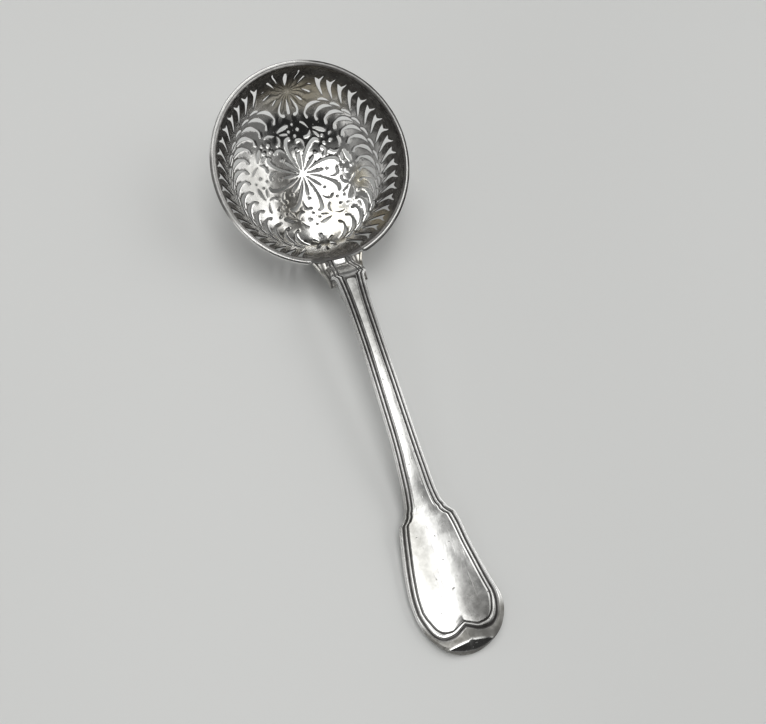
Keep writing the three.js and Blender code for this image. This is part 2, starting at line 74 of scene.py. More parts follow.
# Mesh of the bowl: points round it, the grid between its holes, rows in the plain margin as shares
# of it, and rows on the rounded rim
RIM_SIDES = 288
GRID_STEP = 0.85
GRID_ROW_SHARE = 0.866
GRID_CLEARANCE = 0.33
MARGIN_ROWS = (0.75, 0.5, 0.25)
RIM_ROWS = (0.3, 0.12, 0.07, 0.03, 0)

# Rim strip. Rows of its profile are [radius, height, darkening of the top, share of the outside that the
# dark sectors paint]. The top's darkening is a dark joint at the seam, painted dark reflection on the crown
# and painted shade underneath.
STRIP_INSIDE = 33.45
STRIP_HEIGHT = 2.1
STRIP_STEPS = 420
STRIP_END_SHARE = 0.72
STRIP_PROFILE = np.array([
    [STRIP_INSIDE, -0.1, 1, 1], [33.5, -0.01, 0.5, 0.4], [33.9, -0.04, 0.5, 0.25],
    [34.2, -0.07, 0.45, 1], [34.4, -0.13, 0.1, 1], [34.58, -0.26, 0, 1], [34.7, -0.44, 0, 1],
    [34.76, -0.65, 0, 1], [34.78, -0.9, 0, 1], [34.75, -1.12, 0, 1], [34.62, -1.38, 0.3, 1],
    [34.42, -1.55, 1, 1], [34.3, -1.72, 1, 1], [34.1, -1.95, 0.5, 1], [33.8, -STRIP_HEIGHT, 0.5, 1],
    [STRIP_INSIDE, -STRIP_HEIGHT, 1, 1],
])
# Sectors of the strip, where its outside is painted black as a dark reflection (with a share) and where its
# top's darkening is cleared for a painted highlight: from where to where each one comes and goes, in radians
# from the handle to the +Y side
DARK_REFLECTION_SECTORS = [(0.4, 0.8, 2.8, 3.15, 1), (4.3, 4.5, 4.95, 5.2, 0.85), (-1, -0.5, 0.7, 1.0, 0.9)]
HIGHLIGHT_SECTORS = [(-1, -0.5, 1.5, 1.9), (5.1, 5.3, 7, 7.5)]
HIGHLIGHT_CLEARING = 0.9

# Handle
SEAM_GAP = 0.3
RAMP_LENGTH = 9.3
RAMP_RISE = 6.6
STEM_LENGTH = 80.0
FIDDLE_LENGTH = 51.1
ROUND_END_LENGTH = 17.1
SHOULDER_HEIGHT = 6.6
FIDDLE_HEIGHT = 3.0
TIP_HEIGHT = 1.7
HEAD_HALF_WIDTH = 6.2
ROOT_HALF_WIDTH = 5.2
STEM_HALF_WIDTH = 4.25
FIDDLE_HALF_WIDTH = 14.96
HEAD_THICKNESS = 0.8
ROOT_THICKNESS = 3.7
STEM_THICKNESS = 3.4
SHOULDER_THICKNESS = 2.6
FIDDLE_THICKNESS = 2.25
TIP_THICKNESS = 3.6
PANEL_START = RAMP_LENGTH + 1.0
PANEL_CORNER = 1.3
PANEL_CROWN = 0.35
RAMP_RECESS = 0.75
EDGE_ROUNDING, TIP_ROUNDING = 0.45, 0.75

# Threads: distance of the outer groove from the edge and of the inner groove from the outer one,
# and the grooves' half widths and depths, each on the stem and on the fiddle. Rises of the beads.
GROOVE_PITCH = ((1.15, 1.6), (1.2, 1.42))
GROOVE_HALF_WIDTH = ((0.32, 0.56), (0.46, 0.32))
GROOVE_DEPTH = ((0.3, 0.5), (0.45, 0.25))
BEAD_RISE, FIDDLE_BEAD_RISE, FILLET_RISE = 0.15, 0.07, 0.1

# Round end: places along the handle and across it, bends, and the slope beyond the crest
CREST_AT = 136.1
CREST_MIDDLE = 0.7
CREST_BENDS = (0.034, 0.012)
CREST_CUSP, CREST_CUSP_REACH = 0.4, 1.6
CREST_RISE = 0.55
KEEL_RISE, KEEL_HALF_WIDTH = 0.22, 0.45
BEYOND_CREST = (-0.36, -0.012)
WAIST_SHARE = 0.06
BULGES = (0.35, 0.6)
END_BEND = 0.45

# Wing plate and drop
WING_HALF_WIDTH = 9.3
WING_END_HALF_WIDTH = 6.7
WING_LENGTH = 10.7
WING_THICKNESS = 1.5
WING_SWEEP = 2.0
WING_SEAM = 0.54
WING_LIFT = 0.2
WING_ROUNDING = 0.45
WING_COVE = 0.35
WING_COVE_AT = 6.2
DROP_LENGTH = 11.0
DROP_HALF_WIDTH = 4.7
DROP_THICKNESS = 1.4
DROP_ROUND_ROWS = 6
DROP_WIDTH_SHARES = [0.94, 1, 1, 0.95, 0.85, 0.7, 0.48, 0.2]
DROP_THICKNESS_SHARES = [1, 1, 0.95, 0.85, 0.75, 0.62, 0.5, 0.4]

# Piercing, drawn on the sheet unrolled from the bottom of the bowl to the rim. Rows are
# [across, out, width] in pattern units. A stroke starts at a point. The shift of the pattern's
# middle is given along X and Y, with the distances between which it fades.
PATTERN_UNIT_SHARE = 0.2303
FIELD_EDGE_SHARE = 0.935
CENTRE_SHIFT = [(-1.0, 4, 24), (0.5, 12, 30)]
FOLDS = 8
# First angle from the far side, step and count
HOOK_TURNS, SLIT_TURNS, LEAF_TURNS = (17, 10, 15), (27, 10, 14), (22.5, 7.6, 19)
PETAL = [[0, 0.13], [0, 0.3, 0.055], [0, 0.52, 0.11], [0, 0.73, 0.07]]
BUD = [-0.01, 0.885, 0.052]
DIAMOND = [[0.01, 1.84, 0.042], [-0.165, 1.6, 0.05], [0.175, 1.63, 0.06], [0.03, 1.415, 0.05]]
SPRIG = [
    [[-0.02, 0.22], [-0.03, 0.45, 0.06], [-0.03, 0.6, 0.075], [0, 0.9, 0.095], [0.07, 1.15, 0.11],
     [0.19, 1.325, 0.135], [0.31, 1.345, 0.11]],
    [[-0.09, 0.95], [-0.17, 1.12, 0.07], [-0.29, 1.205, 0.09], [-0.42, 1.165, 0.11]],
    [[-0.06, 1.7], [-0.26, 1.83, 0.065], [-0.4, 1.86, 0.05]],
    [[0.05, 1.755], [0.22, 1.765, 0.1], [0.4, 1.755, 0.13], [0.53, 1.74, 0.08]],
    [[-0.01, 1.655], [0, 1.53, 0.075], [-0.05, 1.42, 0.08], [-0.15, 1.35, 0.09]],
    [[0.1, 1.64], [0.21, 1.575, 0.075], [0.34, 1.5, 0.07]],
]
HOOK = [
    [0.53, 2.68], [0.34, 2.665, 0.08], [0.16, 2.6, 0.13], [0.03, 2.485, 0.13], [-0.045, 2.34, 0.075],
    [-0.065, 2.2, 0.07], [0.02, 2.085, 0.095],
]
SLIT = [[0.34, 2.83], [0.18, 2.85, 0.08], [0.02, 2.84, 0.1], [-0.08, 2.79, 0.08]]
# The leaf's outline is made of smooth lines that meet at corners
LEAF = [
    [[0.27, 2.93], [0.1, 3.1], [-0.03, 3.26], [-0.13, 3.43], [-0.205, 3.63]],
    [[-0.205, 3.63], [-0.1, 3.6], [-0.03, 3.57]],
    [[-0.03, 3.57], [0.05, 3.66], [0.14, 3.81]],
    [[0.14, 3.81], [0.12, 3.66], [0.075, 3.53], [0.065, 3.4], [0.13, 3.23], [0.22, 3.07], [0.27, 2.93]],
]
FAR_AXIS = [
    [[0, 3.24], [0, 3.42, 0.12], [0, 3.62, 0.17], [0, 3.8, 0.1]],
    [[0, 2.8], [0, 2.55, 0.08], [0, 2.36, 0.12], [0, 2.26, 0.11]],
]
FAR_SIDE = [
    [[0.13, 2.82], [0.3, 2.52, 0.07], [0.345, 2.34, 0.08], [0.3, 2.22, 0.09], [0.21, 2.18, 0.12]],
    [[0.32, 3.36], [0.42, 3.56, 0.05], [0.54, 3.74, 0.06], [0.58, 3.9, 0.08]],
    [[0.42, 3.2], [0.6, 3.38, 0.065], [0.76, 3.53, 0.09]],
    [[0.34, 2.85], [0.46, 2.74, 0.06], [0.55, 2.64, 0.07]],
    [[0.56, 3.06], [0.74, 2.97, 0.06], [0.9, 2.87, 0.08]],
    [[0.8, 3.22], [0.92, 3.18, 0.06], [0.99, 3.15, 0.05]],
]
NEAR_AXIS = [
    [[0, 2.86], [0, 2.97, 0.09], [0, 3.07, 0.09]],
    [[0, 2.46], [0, 2.36, 0.09], [0, 2.25, 0.11]],
]
NEAR_SIDE = [
    [[0.17, 2.74], [0.28, 2.84, 0.08], [0.36, 2.91, 0.09]],
    [[0.17, 2.58], [0.28, 2.5, 0.08], [0.36, 2.44, 0.09]],
]

# Lines of the handle: [along the section, share]
RAMP_TOP = [[0, 0.01], [0.25, 0.16], [0.46, 0.43], [0.68, 0.77], [0.85, 0.95], [1, 1]]
STEM_TOP = [
    [0.05, 0.02], [0.11, 0.05], [0.24, 0.11], [0.36, 0.19], [0.49, 0.295], [0.61, 0.415], [0.74, 0.56],
    [0.86, 0.75], [1, 1],
]
FIDDLE_TOP = [[0.18, 0.5], [0.37, 0.83], [0.57, 0.98], [0.76, 1]]
TIP_TOP = [[0.88, 0.02], [0.94, 0.42], [1, 1]]
HEAD_OUTLINE = [
    [0, 0.81], [0.12, 0.815], [0.25, 0.83], [0.4, 0.86], [0.55, 0.9], [0.7, 0.94], [0.83, 0.97],
    [0.91, 0.99], [0.96, 1],
]
STEM_OUTLINE = [[0.01, 1], [0.04, 0.6], [0.09, 0.3], [0.15, 0.1], [0.24, 0.01], [0.35, 0]]
FIDDLE_OUTLINE = [
    [-0.82, 0.016], [-0.62, 0.03], [-0.45, 0.045], [-0.32, 0.07], [-0.22, 0.1], [-0.12, 0.13],
    [-0.05, 0.17], [0, 0.215], [0.02, 0.25], [0.04, 0.3], [0.06, 0.34], [0.085, 0.44], [0.105, 0.53],
    [0.13, 0.57], [0.18, 0.63], [0.27, 0.72], [0.37, 0.82], [0.47, 0.905], [0.57, 0.975], [0.66, 1],
]
# Round end: quarter turn of the outline, then the outer groove, the inner groove and the panel's
# middle, as shares of the end's length and half width
ROUND_END = [
    [0.13, 0.13, 0.87, 0.11, 0.77, 0.1],
    [0.25, 0.27, 0.83, 0.22, 0.725, 0.17],
    [0.37, 0.42, 0.765, 0.34, 0.67, 0.22],
    [0.48, 0.53, 0.67, 0.43, 0.59, 0.25],
    [0.58, 0.59, 0.56, 0.475, 0.51, 0.265],
    [0.68, 0.605, 0.45, 0.49, 0.42, 0.28],
    [0.77, 0.6, 0.345, 0.495, 0.33, 0.3],
    [0.85, 0.58, 0.245, 0.47, 0.24, 0.32],
    [0.92, 0.54, 0.155, 0.435, 0.155, 0.335],
    [0.97, 0.5, 0.07, 0.4, 0.07, 0.345],
    [1, 0.468, 0, 0.375, 0, 0.35],
]


def smooth(x, low, high):
    t = clamp((np.asarray(x, float) - low) / (high - low))
    return t * t * (3 - 2 * t)


def band(x, low, full, last, high):
    """1 between full and last, and 0 below low and above high."""
    return smooth(x, low, full) * (1 - smooth(x, last, high))


def clamp(x):
    return np.clip(x, 0, 1)


def blend(pair, share):
    return pair[0] + (pair[1] - pair[0]) * share


def distance(points):
    return np.hypot(points[:, 0], points[:, 1])


def unit_length(vectors):
    return vectors / np.maximum(np.linalg.norm(vectors, axis=1), 1e-9)[:, None]


def round_pairs(loop):
    """Each point of a closed loop with the next one."""
    return zip(loop, [*loop[1:], loop[0]])


def between(rows, place):
    """A smooth value between the rows [place, value] of a table, for an array of places."""
    table = np.asarray(rows, float)
    x, y = table[:, 0], table[:, 1]
    place = np.asarray(place, float)
    i = np.clip(np.searchsorted(x, place) - 1, 0, len(x) - 2)
    low, high = np.maximum(i - 1, 0), np.minimum(i + 2, len(x) - 1)
    step = x[i + 1] - x[i]
    t = clamp((place - x[i]) / step)
    m0 = (y[i + 1] - y[low]) / (x[i + 1] - x[low]) * step
    m1 = (y[high] - y[i]) / (x[high] - x[i]) * step
    rise = y[i + 1] - y[i]
    return y[i] + t * (m0 + t * (3 * rise - 2 * m0 - m1 + t * (m0 + m1 - 2 * rise)))


# The sheet's middle surface, from the bottom of the bowl up to the rim
half_sheet = SHEET_THICKNESS / 2
angle = np.linspace(0, math.pi / 2, 601)
reach = (np.sin(angle) ** BOWL_FULLNESS + np.cos(angle) ** BOWL_FULLNESS) ** (-1 / BOWL_FULLNESS)
mer_radius = (BOWL_RADIUS - half_sheet) * reach * np.sin(angle)
mer_depth = (BOWL_DEPTH - half_sheet) * reach * np.cos(angle)
mer_along = join([[0], np.cumsum(np.hypot(np.diff(mer_radius), np.diff(mer_depth)))])
mer_out = -np.gradient(mer_depth, mer_along)
mer_down = np.gradient(mer_radius, mer_along)
meridian_length = mer_along[-1]
unit = meridian_length * PATTERN_UNIT_SHARE
field_radius = meridian_length * FIELD_EDGE_SHARE

tilt = math.radians(BOWL_TILT)
TURN = np.array([[math.cos(tilt), 0, math.sin(tilt)], [0, 1, 0], [-math.sin(tilt), 0, math.cos(tilt)]])


def sheet_point(along, turn, offset):
    """Points of the bowl in its own frame, so far along the sheet and off its middle surface."""
    radius = np.interp(along, mer_along, mer_radius) + offset * np.interp(along, mer_along, mer_out)
    height = -np.interp(along, mer_along, mer_depth) - offset * np.interp(along, mer_along, mer_down)
    return np.stack([radius * np.cos(turn), radius * np.sin(turn), height], -1)


heights = (sheet_point(mer_along, 0.0, half_sheet) @ TURN.T)[:, 2]
rest_along = mer_along[np.argmin(heights)]
bowl_height = -heights.min() - REST_WEAR_DEPTH
strip_inside = BOWL_RADIUS + SEAM_GAP
rim_edge = TURN @ np.array([strip_inside, 0, 0]) + np.array([0, 0, bowl_height])
shoulder_at = RAMP_LENGTH + STEM_LENGTH
tip_at = shoulder_at + FIDDLE_LENGTH
round_end_at = tip_at - ROUND_END_LENGTH
bowl_at = cad_box[1].x / MM - tip_at - rim_edge[0]
head_at = bowl_at + rim_edge[0]


def tilted(points):
    """Points of the bowl's frame in the frame of the solids."""
    return np.asarray(points) @ TURN.T + np.array([bowl_at, 0, bowl_height])


def add_object(name, data):
    made = bpy.data.objects.new(name, data)
    scene.collection.objects.link(made)
    return made


def piece(name, points, faces, material, slot, replaced, normals=None, **layers):
    """A mesh object with its values per point, riding on the one body."""
    mesh = bpy.data.meshes.new(name)
    mesh.from_pydata((np.asarray(points, float) * MM).tolist(), [], [list(map(int, f)) for f in faces])
    mesh.validate()
    mesh.polygons.foreach_set("use_smooth", [True] * len(mesh.polygons))
    for key, values in layers.items():
        layer = mesh.attributes.new(key, "FLOAT", "POINT")
        layer.data.foreach_set("value", np.asarray(values, np.float32))
    if normals is not None:
        own = np.array([n.vector for n in mesh.vertex_normals])
        given = np.any(normals != 0, axis=1, keepdims=True)
        mixed = normals * (1 - OWN_NORMALS) + own * OWN_NORMALS * given
        mesh.normals_split_custom_set_from_vertices(mixed.tolist())
    mesh.materials.append(material)
    made = add_object(name, mesh)
    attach(made, "root")
    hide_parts(replaced)
    return made


def ring_faces(index):
    """Faces between closed rings of points, one ring per row, without points met twice."""
    faces = []
    for row, after in zip(index, index[1:]):
        for (a, b), (c, d) in zip(round_pairs(row), round_pairs(after)):
            face = [a, b, d, c]
            clean = [v for n, v in enumerate(face) if v != face[n - 1]]
            if len(clean) > 2:
                faces.append(clean)
    return faces


# Outlines of the holes
def curve(points, steps):
    """Points of a smooth line through the given ones."""
    p = np.asarray(points, float)
    p = join([[2 * p[0] - p[1]], p, [2 * p[-1] - p[-2]]])
    t = np.linspace(0, 1, steps, endpoint=False)[:, None]
    found = []
    for a, b, c, d in zip(p, p[1:], p[2:], p[3:]):
        found.append(0.5 * (2 * b + (c - a) * t + (2 * a - 5 * b + 4 * c - d) * t * t
                            + (3 * b - a - 3 * c + d) * t ** 3))
    return join(found + [p[-2:-1]])


def stroke(rows):
    """A tapered stroke: a point at its start and a round end."""
    rows = np.array([[*row, 0.0][:3] for row in rows])
    fine = curve(rows, 4)
    spine, half = fine[:, :2], np.maximum(fine[:, 2] / 2, 0)
    along = unit_length(np.gradient(spine, axis=0))
    side = np.c_[-along[:, 1], along[:, 0]] * half[:, None]
    turn = np.radians([60, 30, 0, -30, -60])[:, None]
    across = side[-1] / max(half[-1], 1e-6)
    cap = spine[-1] + half[-1] * (across * np.sin(turn) + along[-1] * np.cos(turn))
    return join([spine[:1], (spine + side)[1:], cap, (spine - side)[:0:-1]])


def dot(row, sides=14):
    turn = 2 * math.pi * np.arange(sides) / sides
    return np.c_[row[0] + row[2] * np.cos(turn), row[1] + row[2] * np.sin(turn)]


def placed(points, turn, hand=1):
    """An outline on the unrolled sheet, turned from the far side of the bowl."""
    c, s = math.cos(math.radians(turn)) * unit, math.sin(math.radians(turn)) * unit
    x, y = points[:, 0], points[:, 1]
    return np.c_[x * s - y * c, (x * c + y * s) * hand]


def strokes(table, turn, hand=1):
    return [placed(stroke(rows), turn, hand) for rows in table]


def piercing():
    """Counter-clockwise outlines of all the holes."""
    leaf = join([curve(part, 3)[:-1] for part in LEAF])
    garland = [(stroke(HOOK), *HOOK_TURNS), (stroke(SLIT), *SLIT_TURNS), (leaf, *LEAF_TURNS)]
    holes = []
    for k in range(FOLDS):
        ray = 360 / FOLDS * k
        holes += strokes([PETAL], ray)
        holes += [placed(dot(row), ray) for row in [BUD, *DIAMOND]]
        holes += strokes(SPRIG, ray + 180 / FOLDS)
    for hand in (-1, 1):
        for outline, first, step, count in garland:
            holes += [placed(outline, first + step * k, hand) for k in range(count)]
        holes += strokes(FAR_SIDE, 0, hand) + strokes(NEAR_SIDE, 180, hand)
    holes += strokes(FAR_AXIS, 0) + strokes(NEAR_AXIS, 180)
    turned = []
    for hole in holes:
        # The flower was cut a little off the bottom, towards the far side
        out = distance(hole)
        hole = hole + np.stack([by * (1 - smooth(out, low, high)) for by, low, high in CENTRE_SHIFT], 1)
        x, y = hole[:, 0], hole[:, 1]
        area = np.sum(x * np.roll(y, -1) - y * np.roll(x, -1))
        turned.append(hole if area > 0 else hole[::-1])
    return turned


def grown(outline, by):
    """A counter-clockwise outline moved outwards."""
    after = unit_length(np.roll(outline, -1, 0) - outline)
    normal = np.c_[after[:, 1], -after[:, 0]]
    mean = unit_length(normal + np.roll(normal, 1, 0))
    mitre = np.clip(1 / np.maximum(np.sum(mean * normal, 1), 0.3), 1, 1.8)
    return outline + mean * (by * mitre)[:, None]


def wobble(points, scale, seed):
    """Smooth uneven values, about -1 to 1, at points in millimetres."""
    return np.array([noise.noise(Vector(p) / scale + Vector((seed, -seed, 2 * seed))) for p in points]) * 1.6


def bowl_surface(flat, offset):
    """Points of the pierced sheet over flat points, with the raiser's unevenness."""
    along = distance(flat)
    turn = np.arctan2(flat[:, 1], flat[:, 0])
    loose = 1 - smooth(along, meridian_length * 0.8, meridian_length * 0.97)
    solid = np.c_[flat, 0 * along]
    uneven = sum(height * wobble(solid, size, seed) for height, size, seed in HAMMERING)
    return tilted(sheet_point(along, turn, offset + uneven * loose))


def bowl_normals(flat, offset, side):
    """Normals of the unpierced sheet."""
    step = 0.1
    ends = [bowl_surface(flat + np.array(move), offset)
            for move in ((step, 0), (-step, 0), (0, step), (0, -step))]
    return unit_length(np.cross(ends[0] - ends[1], ends[2] - ends[3]) * side)


def thinned(flat):
    """How much thinner the sheet is in the walls than at its rest and its rim."""
    off_rest = np.hypot(flat[:, 0] - rest_along, flat[:, 1])
    share = distance(flat) / meridian_length
    return WALL_THINNING * smooth(off_rest, 4, 9) * (1 - smooth(share, 0.9, 0.96))


def plain_grid(holes, outlines):
    """Grid points in the plain sheet, kept off the outlines."""
    rows = int(meridian_length / (GRID_STEP * GRID_ROW_SHARE)) + 1
    grid = []
    for j in range(-rows, rows + 1):
        x = np.arange(-rows, rows + 1) * GRID_STEP + (j % 2) * GRID_STEP / 2
        grid.append(np.c_[x, np.full_like(x, j * GRID_STEP * GRID_ROW_SHARE)])
    grid = join(grid)
    grid = grid[distance(grid) < field_radius - 0.5 * GRID_STEP]
    keep = np.ones(len(grid), bool)
    for block in range(0, len(grid), 2000):
        part = grid[block:block + 2000]
        gap = np.min(np.hypot(part[:, None, 0] - outlines[None, :, 0],
                              part[:, None, 1] - outlines[None, :, 1]), axis=1)
        keep[block:block + 2000] = gap > GRID_CLEARANCE
    for hole in holes:
        near = np.where(keep & np.all((grid > hole.min(0)) & (grid < hole.max(0)), axis=1))[0]
        x, y = grid[near, 0][:, None], grid[near, 1][:, None]
        ax, ay = hole.T[:, None]
        bx, by = np.roll(hole, -1, 0).T[:, None]
        across = (ay > y) != (by > y)
        place = ax + (bx - ax) * (y - ay) / np.where(by == ay, 1e-9, by - ay)
        inside = np.sum(across & (x < place), axis=1) % 2 == 1
        keep[near[inside]] = False
    return grid[keep]


def pierced_field(rim):
    """Flat points and faces of the field inside a ring of points, and which points are sawn."""
    holes = piercing()
    flat, kind = [rim], [np.zeros(len(rim))]
    start = len(rim)
    loops, grown_loops = [list(range(start))], []
    for hole in holes:
        count = len(hole)
        loops.append(list(range(start, start + count)))
        grown_loops.append(list(range(start + count, start + 2 * count)))
        flat += [hole, grown(hole, HOLE_BEVEL)]
        kind += [np.ones(count), np.zeros(count)]
        start += 2 * count
    flat.append(plain_grid(holes, join(flat[1:])))
    kind.append(np.zeros(len(flat[-1])))
    flat, kind = join(flat), join(kind)
    edges = [pair for loop in loops + grown_loops for pair in round_pairs(loop)]
    found, _, faces, origin, _, face_origin = delaunay_2d_cdt(
        [Vector(p) for p in flat], edges, loops[1:], 0, 1e-5)
    flat = np.array([tuple(p) for p in found])
    kind = np.array([kind[ids[0]] if ids else 0 for ids in origin])
    inside = distance(flat) < field_radius + 1e-3
    faces = [f for f, ids in zip(faces, face_origin) if not ids and all(inside[i] for i in f)]
    return flat, faces, kind


def make_bowl(material):
    turn = 2 * math.pi * np.arange(RIM_SIDES) / RIM_SIDES
    circle = np.c_[np.cos(turn), np.sin(turn)]
    field_edge = circle * meridian_length * FIELD_EDGE_SHARE
    flat, faces, kind = pierced_field(field_edge)
    # Plain rows up to the rim, whose edges are rounded
    ring = [int(np.argmin(distance(flat - p))) for p in field_edge]
    count = len(flat)
    extra, worn = [], [np.zeros(count)]
    margin = (1 - FIELD_EDGE_SHARE) * meridian_length
    for inset in [*(margin * share for share in MARGIN_ROWS), *RIM_ROWS]:
        new = list(range(count, count + RIM_SIDES))
        extra.append(circle * (meridian_length - inset))
        over = max(RIM_ROUNDING - inset, 0)
        worn.append(np.full(RIM_SIDES, RIM_ROUNDING - math.sqrt(RIM_ROUNDING ** 2 - over ** 2)))
        faces += [(a, c, d, b) for (a, b), (c, d) in zip(round_pairs(ring), round_pairs(new))]
        ring, count = new, count + RIM_SIDES
    flat, worn = join([flat, *extra]), join(worn)
    kind = join([kind, np.zeros(count - len(kind))])
    # Two skins, joined by walls wherever a face's edge is open. Sawn and rounded edges keep the
    # normals of the mesh.
    depth = half_sheet - HOLE_BEVEL_DEPTH * kind - worn
    inner, outer = bowl_surface(flat, -depth), bowl_surface(flat, depth - thinned(flat))
    outer[:, 2] = np.maximum(outer[:, 2], 0)
    plain = ((kind == 0) & (worn == 0))[:, None]
    normals = join([bowl_normals(flat, -depth, 1) * plain, bowl_normals(flat, depth, -1) * plain])
    directed = {pair for f in faces for pair in round_pairs(f)}
    skins = [tuple(f) for f in faces] + [tuple(i + count for i in reversed(f)) for f in faces]
    walls = sorted((b, a, a + count, b + count) for a, b in directed if (b, a) not in directed)
    # Darkening in the cuts, tarnish and painted shade; in the wall and on the lip, tarnish and painted
    # dark reflection, on the lip most on the +Y side and at the handle
    share = distance(flat) / meridian_length
    turn = np.arctan2(flat[:, 1], flat[:, 0])
    lip_dark_reflection = 0.5 + 0.3 * (np.abs(turn) < 0.27) + 0.4 * band(turn, 0.8, 1.2, 2.8, 3.1)
    lip = smooth(share, 0.993, 0.997) * clamp(lip_dark_reflection)
    wall = 0.4 * band(share, 0.74, 0.8, 0.975, 0.99)
    cut = kind * (0.3 + 0.7 * smooth(share, 0.42, 0.5))
    dirt_and_shade = np.maximum(np.maximum(cut, lip), wall)
    # The outer band takes a dark coat, partly old patina and partly painted dark reflection, full inside and
    # less outside
    coat_and_reflection = smooth(share, 0.68, 0.76)
    return piece("pierced_bowl", join([inner, outer]), skins + walls, material, "bowl_silver",
                 "bowl", normals, tarnish=join([dirt_and_shade, dirt_and_shade]),
                 patina=join([coat_and_reflection, 0.4 * coat_and_reflection]), sawn=join([kind, kind]))


def make_strip(material):
    """The moulded strip outside the rim, swept from one wing of the plate to the other."""
    radius, height, top_joint_and_shade, outside_dark_reflection = STRIP_PROFILE.T
    first = math.asin(WING_HALF_WIDTH / strip_inside) + SEAM_GAP / strip_inside
    points, dirt_and_shade = [], []
    for turn in np.linspace(first, 2 * math.pi - first, STRIP_STEPS + 1):
        close = min(turn - first, 2 * math.pi - first - turn) * strip_inside
        taper = STRIP_END_SHARE + (1 - STRIP_END_SHARE) * smooth(close, 0, 1.2)
        uneven = 0.02 * noise.noise(Vector((math.cos(turn), math.sin(turn), 0)) * 6)
        out = STRIP_INSIDE + (radius - STRIP_INSIDE) * taper + uneven
        points.append(np.c_[out * math.cos(turn), out * math.sin(turn), height * taper + uneven])
        # Painted dark reflection on the outside, and a painted highlight where the top's darkening is
        # cleared
        dark_reflection = max(share * band(turn, *sector) for *sector, share in DARK_REFLECTION_SECTORS)
        highlight = max(band(turn, *sector) for sector in HIGHLIGHT_SECTORS)
        dirt_and_shade.append(np.maximum(top_joint_and_shade * (1 - HIGHLIGHT_CLEARING * highlight), outside_dark_reflection * dark_reflection))
    index = np.arange(len(points) * len(radius)).reshape(len(points), -1)
    faces = ring_faces(index) + [index[0, ::-1], index[-1]]
    return piece("rim_moulding", tilted(join(points)), faces, material, "rim_silver", "rim_strip",
                 tarnish=join(dirt_and_shade))


# Lines along the handle, as rows [distance from the rim, value]
def section(start, length, rows, low, high):
    return [[start + length * along, low + (high - low) * share] for along, share in rows]


crest_height = rim_edge[2] + RAMP_RISE
TO_FIDDLE = (section(0, RAMP_LENGTH, RAMP_TOP, rim_edge[2], crest_height)
             + section(RAMP_LENGTH, STEM_LENGTH, STEM_TOP, crest_height, SHOULDER_HEIGHT)
             + section(shoulder_at, FIDDLE_LENGTH, FIDDLE_TOP, SHOULDER_HEIGHT, FIDDLE_HEIGHT))
TOP = TO_FIDDLE + [[tip_at, FIDDLE_HEIGHT]]
UNDER = TO_FIDDLE + section(shoulder_at, FIDDLE_LENGTH, TIP_TOP, FIDDLE_HEIGHT, TIP_HEIGHT)
THICKNESS = [
    [0, HEAD_THICKNESS], [RAMP_LENGTH, ROOT_THICKNESS], [RAMP_LENGTH + STEM_LENGTH / 2, STEM_THICKNESS],
    [shoulder_at, SHOULDER_THICKNESS], [(shoulder_at + round_end_at) / 2, FIDDLE_THICKNESS],
    [round_end_at, FIDDLE_THICKNESS], [(round_end_at + tip_at) / 2, TIP_THICKNESS], [tip_at, TIP_THICKNESS],
]
OUTLINE = (section(0, RAMP_LENGTH, HEAD_OUTLINE, 0, HEAD_HALF_WIDTH)
           + section(RAMP_LENGTH, STEM_LENGTH, STEM_OUTLINE, STEM_HALF_WIDTH, ROOT_HALF_WIDTH)
           + section(shoulder_at, FIDDLE_LENGTH, FIDDLE_OUTLINE, STEM_HALF_WIDTH, FIDDLE_HALF_WIDTH))


def lines_across():
    """Rows of four points each: the edge, the two grooves and the middle of the panel."""
    stops = [-SEAM_GAP, 6.6, 11.4, shoulder_at - 5, shoulder_at + 9, round_end_at]
    steps = [0.3, 0.15, 0.5, 0.22, 0.42]
    runs = [np.arange(low, high, step) for low, high, step in zip(stops, stops[1:], steps)]
    stations = np.unique(np.round(join([*runs, [round_end_at]]), 4))
    half = between(OUTLINE, stations)
    grow = clamp((half - STEM_HALF_WIDTH) / (FIDDLE_HALF_WIDTH - STEM_HALF_WIDTH)) ** 0.7
    outer, inner = (blend(pair, grow) for pair in GROOVE_PITCH)
    # Where the outline leans, the grooves keep most of their distance from it
    lean = np.gradient(half, stations)
    square = np.sqrt(1 + np.clip(lean, -1, 1) ** 2) ** 0.6
    rows = np.zeros((len(stations), 4, 2))
    rows[:, :, 0] = stations[:, None]
    rows[:, 0, 1] = half
    rows[:, 1, 1] = half - outer * square
    rows[:, 2, 1] = half - (outer + inner) * square
    start = [0, 0, rows[-1, 1, 1] / FIDDLE_HALF_WIDTH, 0, rows[-1, 2, 1] / FIDDLE_HALF_WIDTH, 0]
    table = np.array([start, *ROUND_END], float)
    turn = join([np.linspace(0, 0.9, 46)[1:], np.linspace(0.9, 1, 9)[1:]])
    angle = turn * math.pi / 2
    value = [between(table[:, [0, k]], turn) for k in range(1, 6)]
    end = np.zeros((len(turn), 4, 2))
    end[:, 0] = np.c_[np.sin(angle), np.cos(angle) * (turn < 1)]
    end[:, 1:3] = np.stack(value[:4], 1).reshape(-1, 2, 2)
    end[:, 3, 0] = value[4]
    end[:, :, 0] = round_end_at + ROUND_END_LENGTH * end[:, :, 0]
    end[:, :, 1] *= FIDDLE_HALF_WIDTH
    return join([rows, end]), join([grow, np.ones(len(turn))])


def crest_line(side_y):
    """Where the crest at the tip runs, bent more on one side than on the other."""
    off = side_y - CREST_MIDDLE
    return (CREST_AT + np.where(off > 0, *CREST_BENDS) * off ** 2
            + CREST_CUSP * smooth(np.abs(off), 0, CREST_CUSP_REACH))


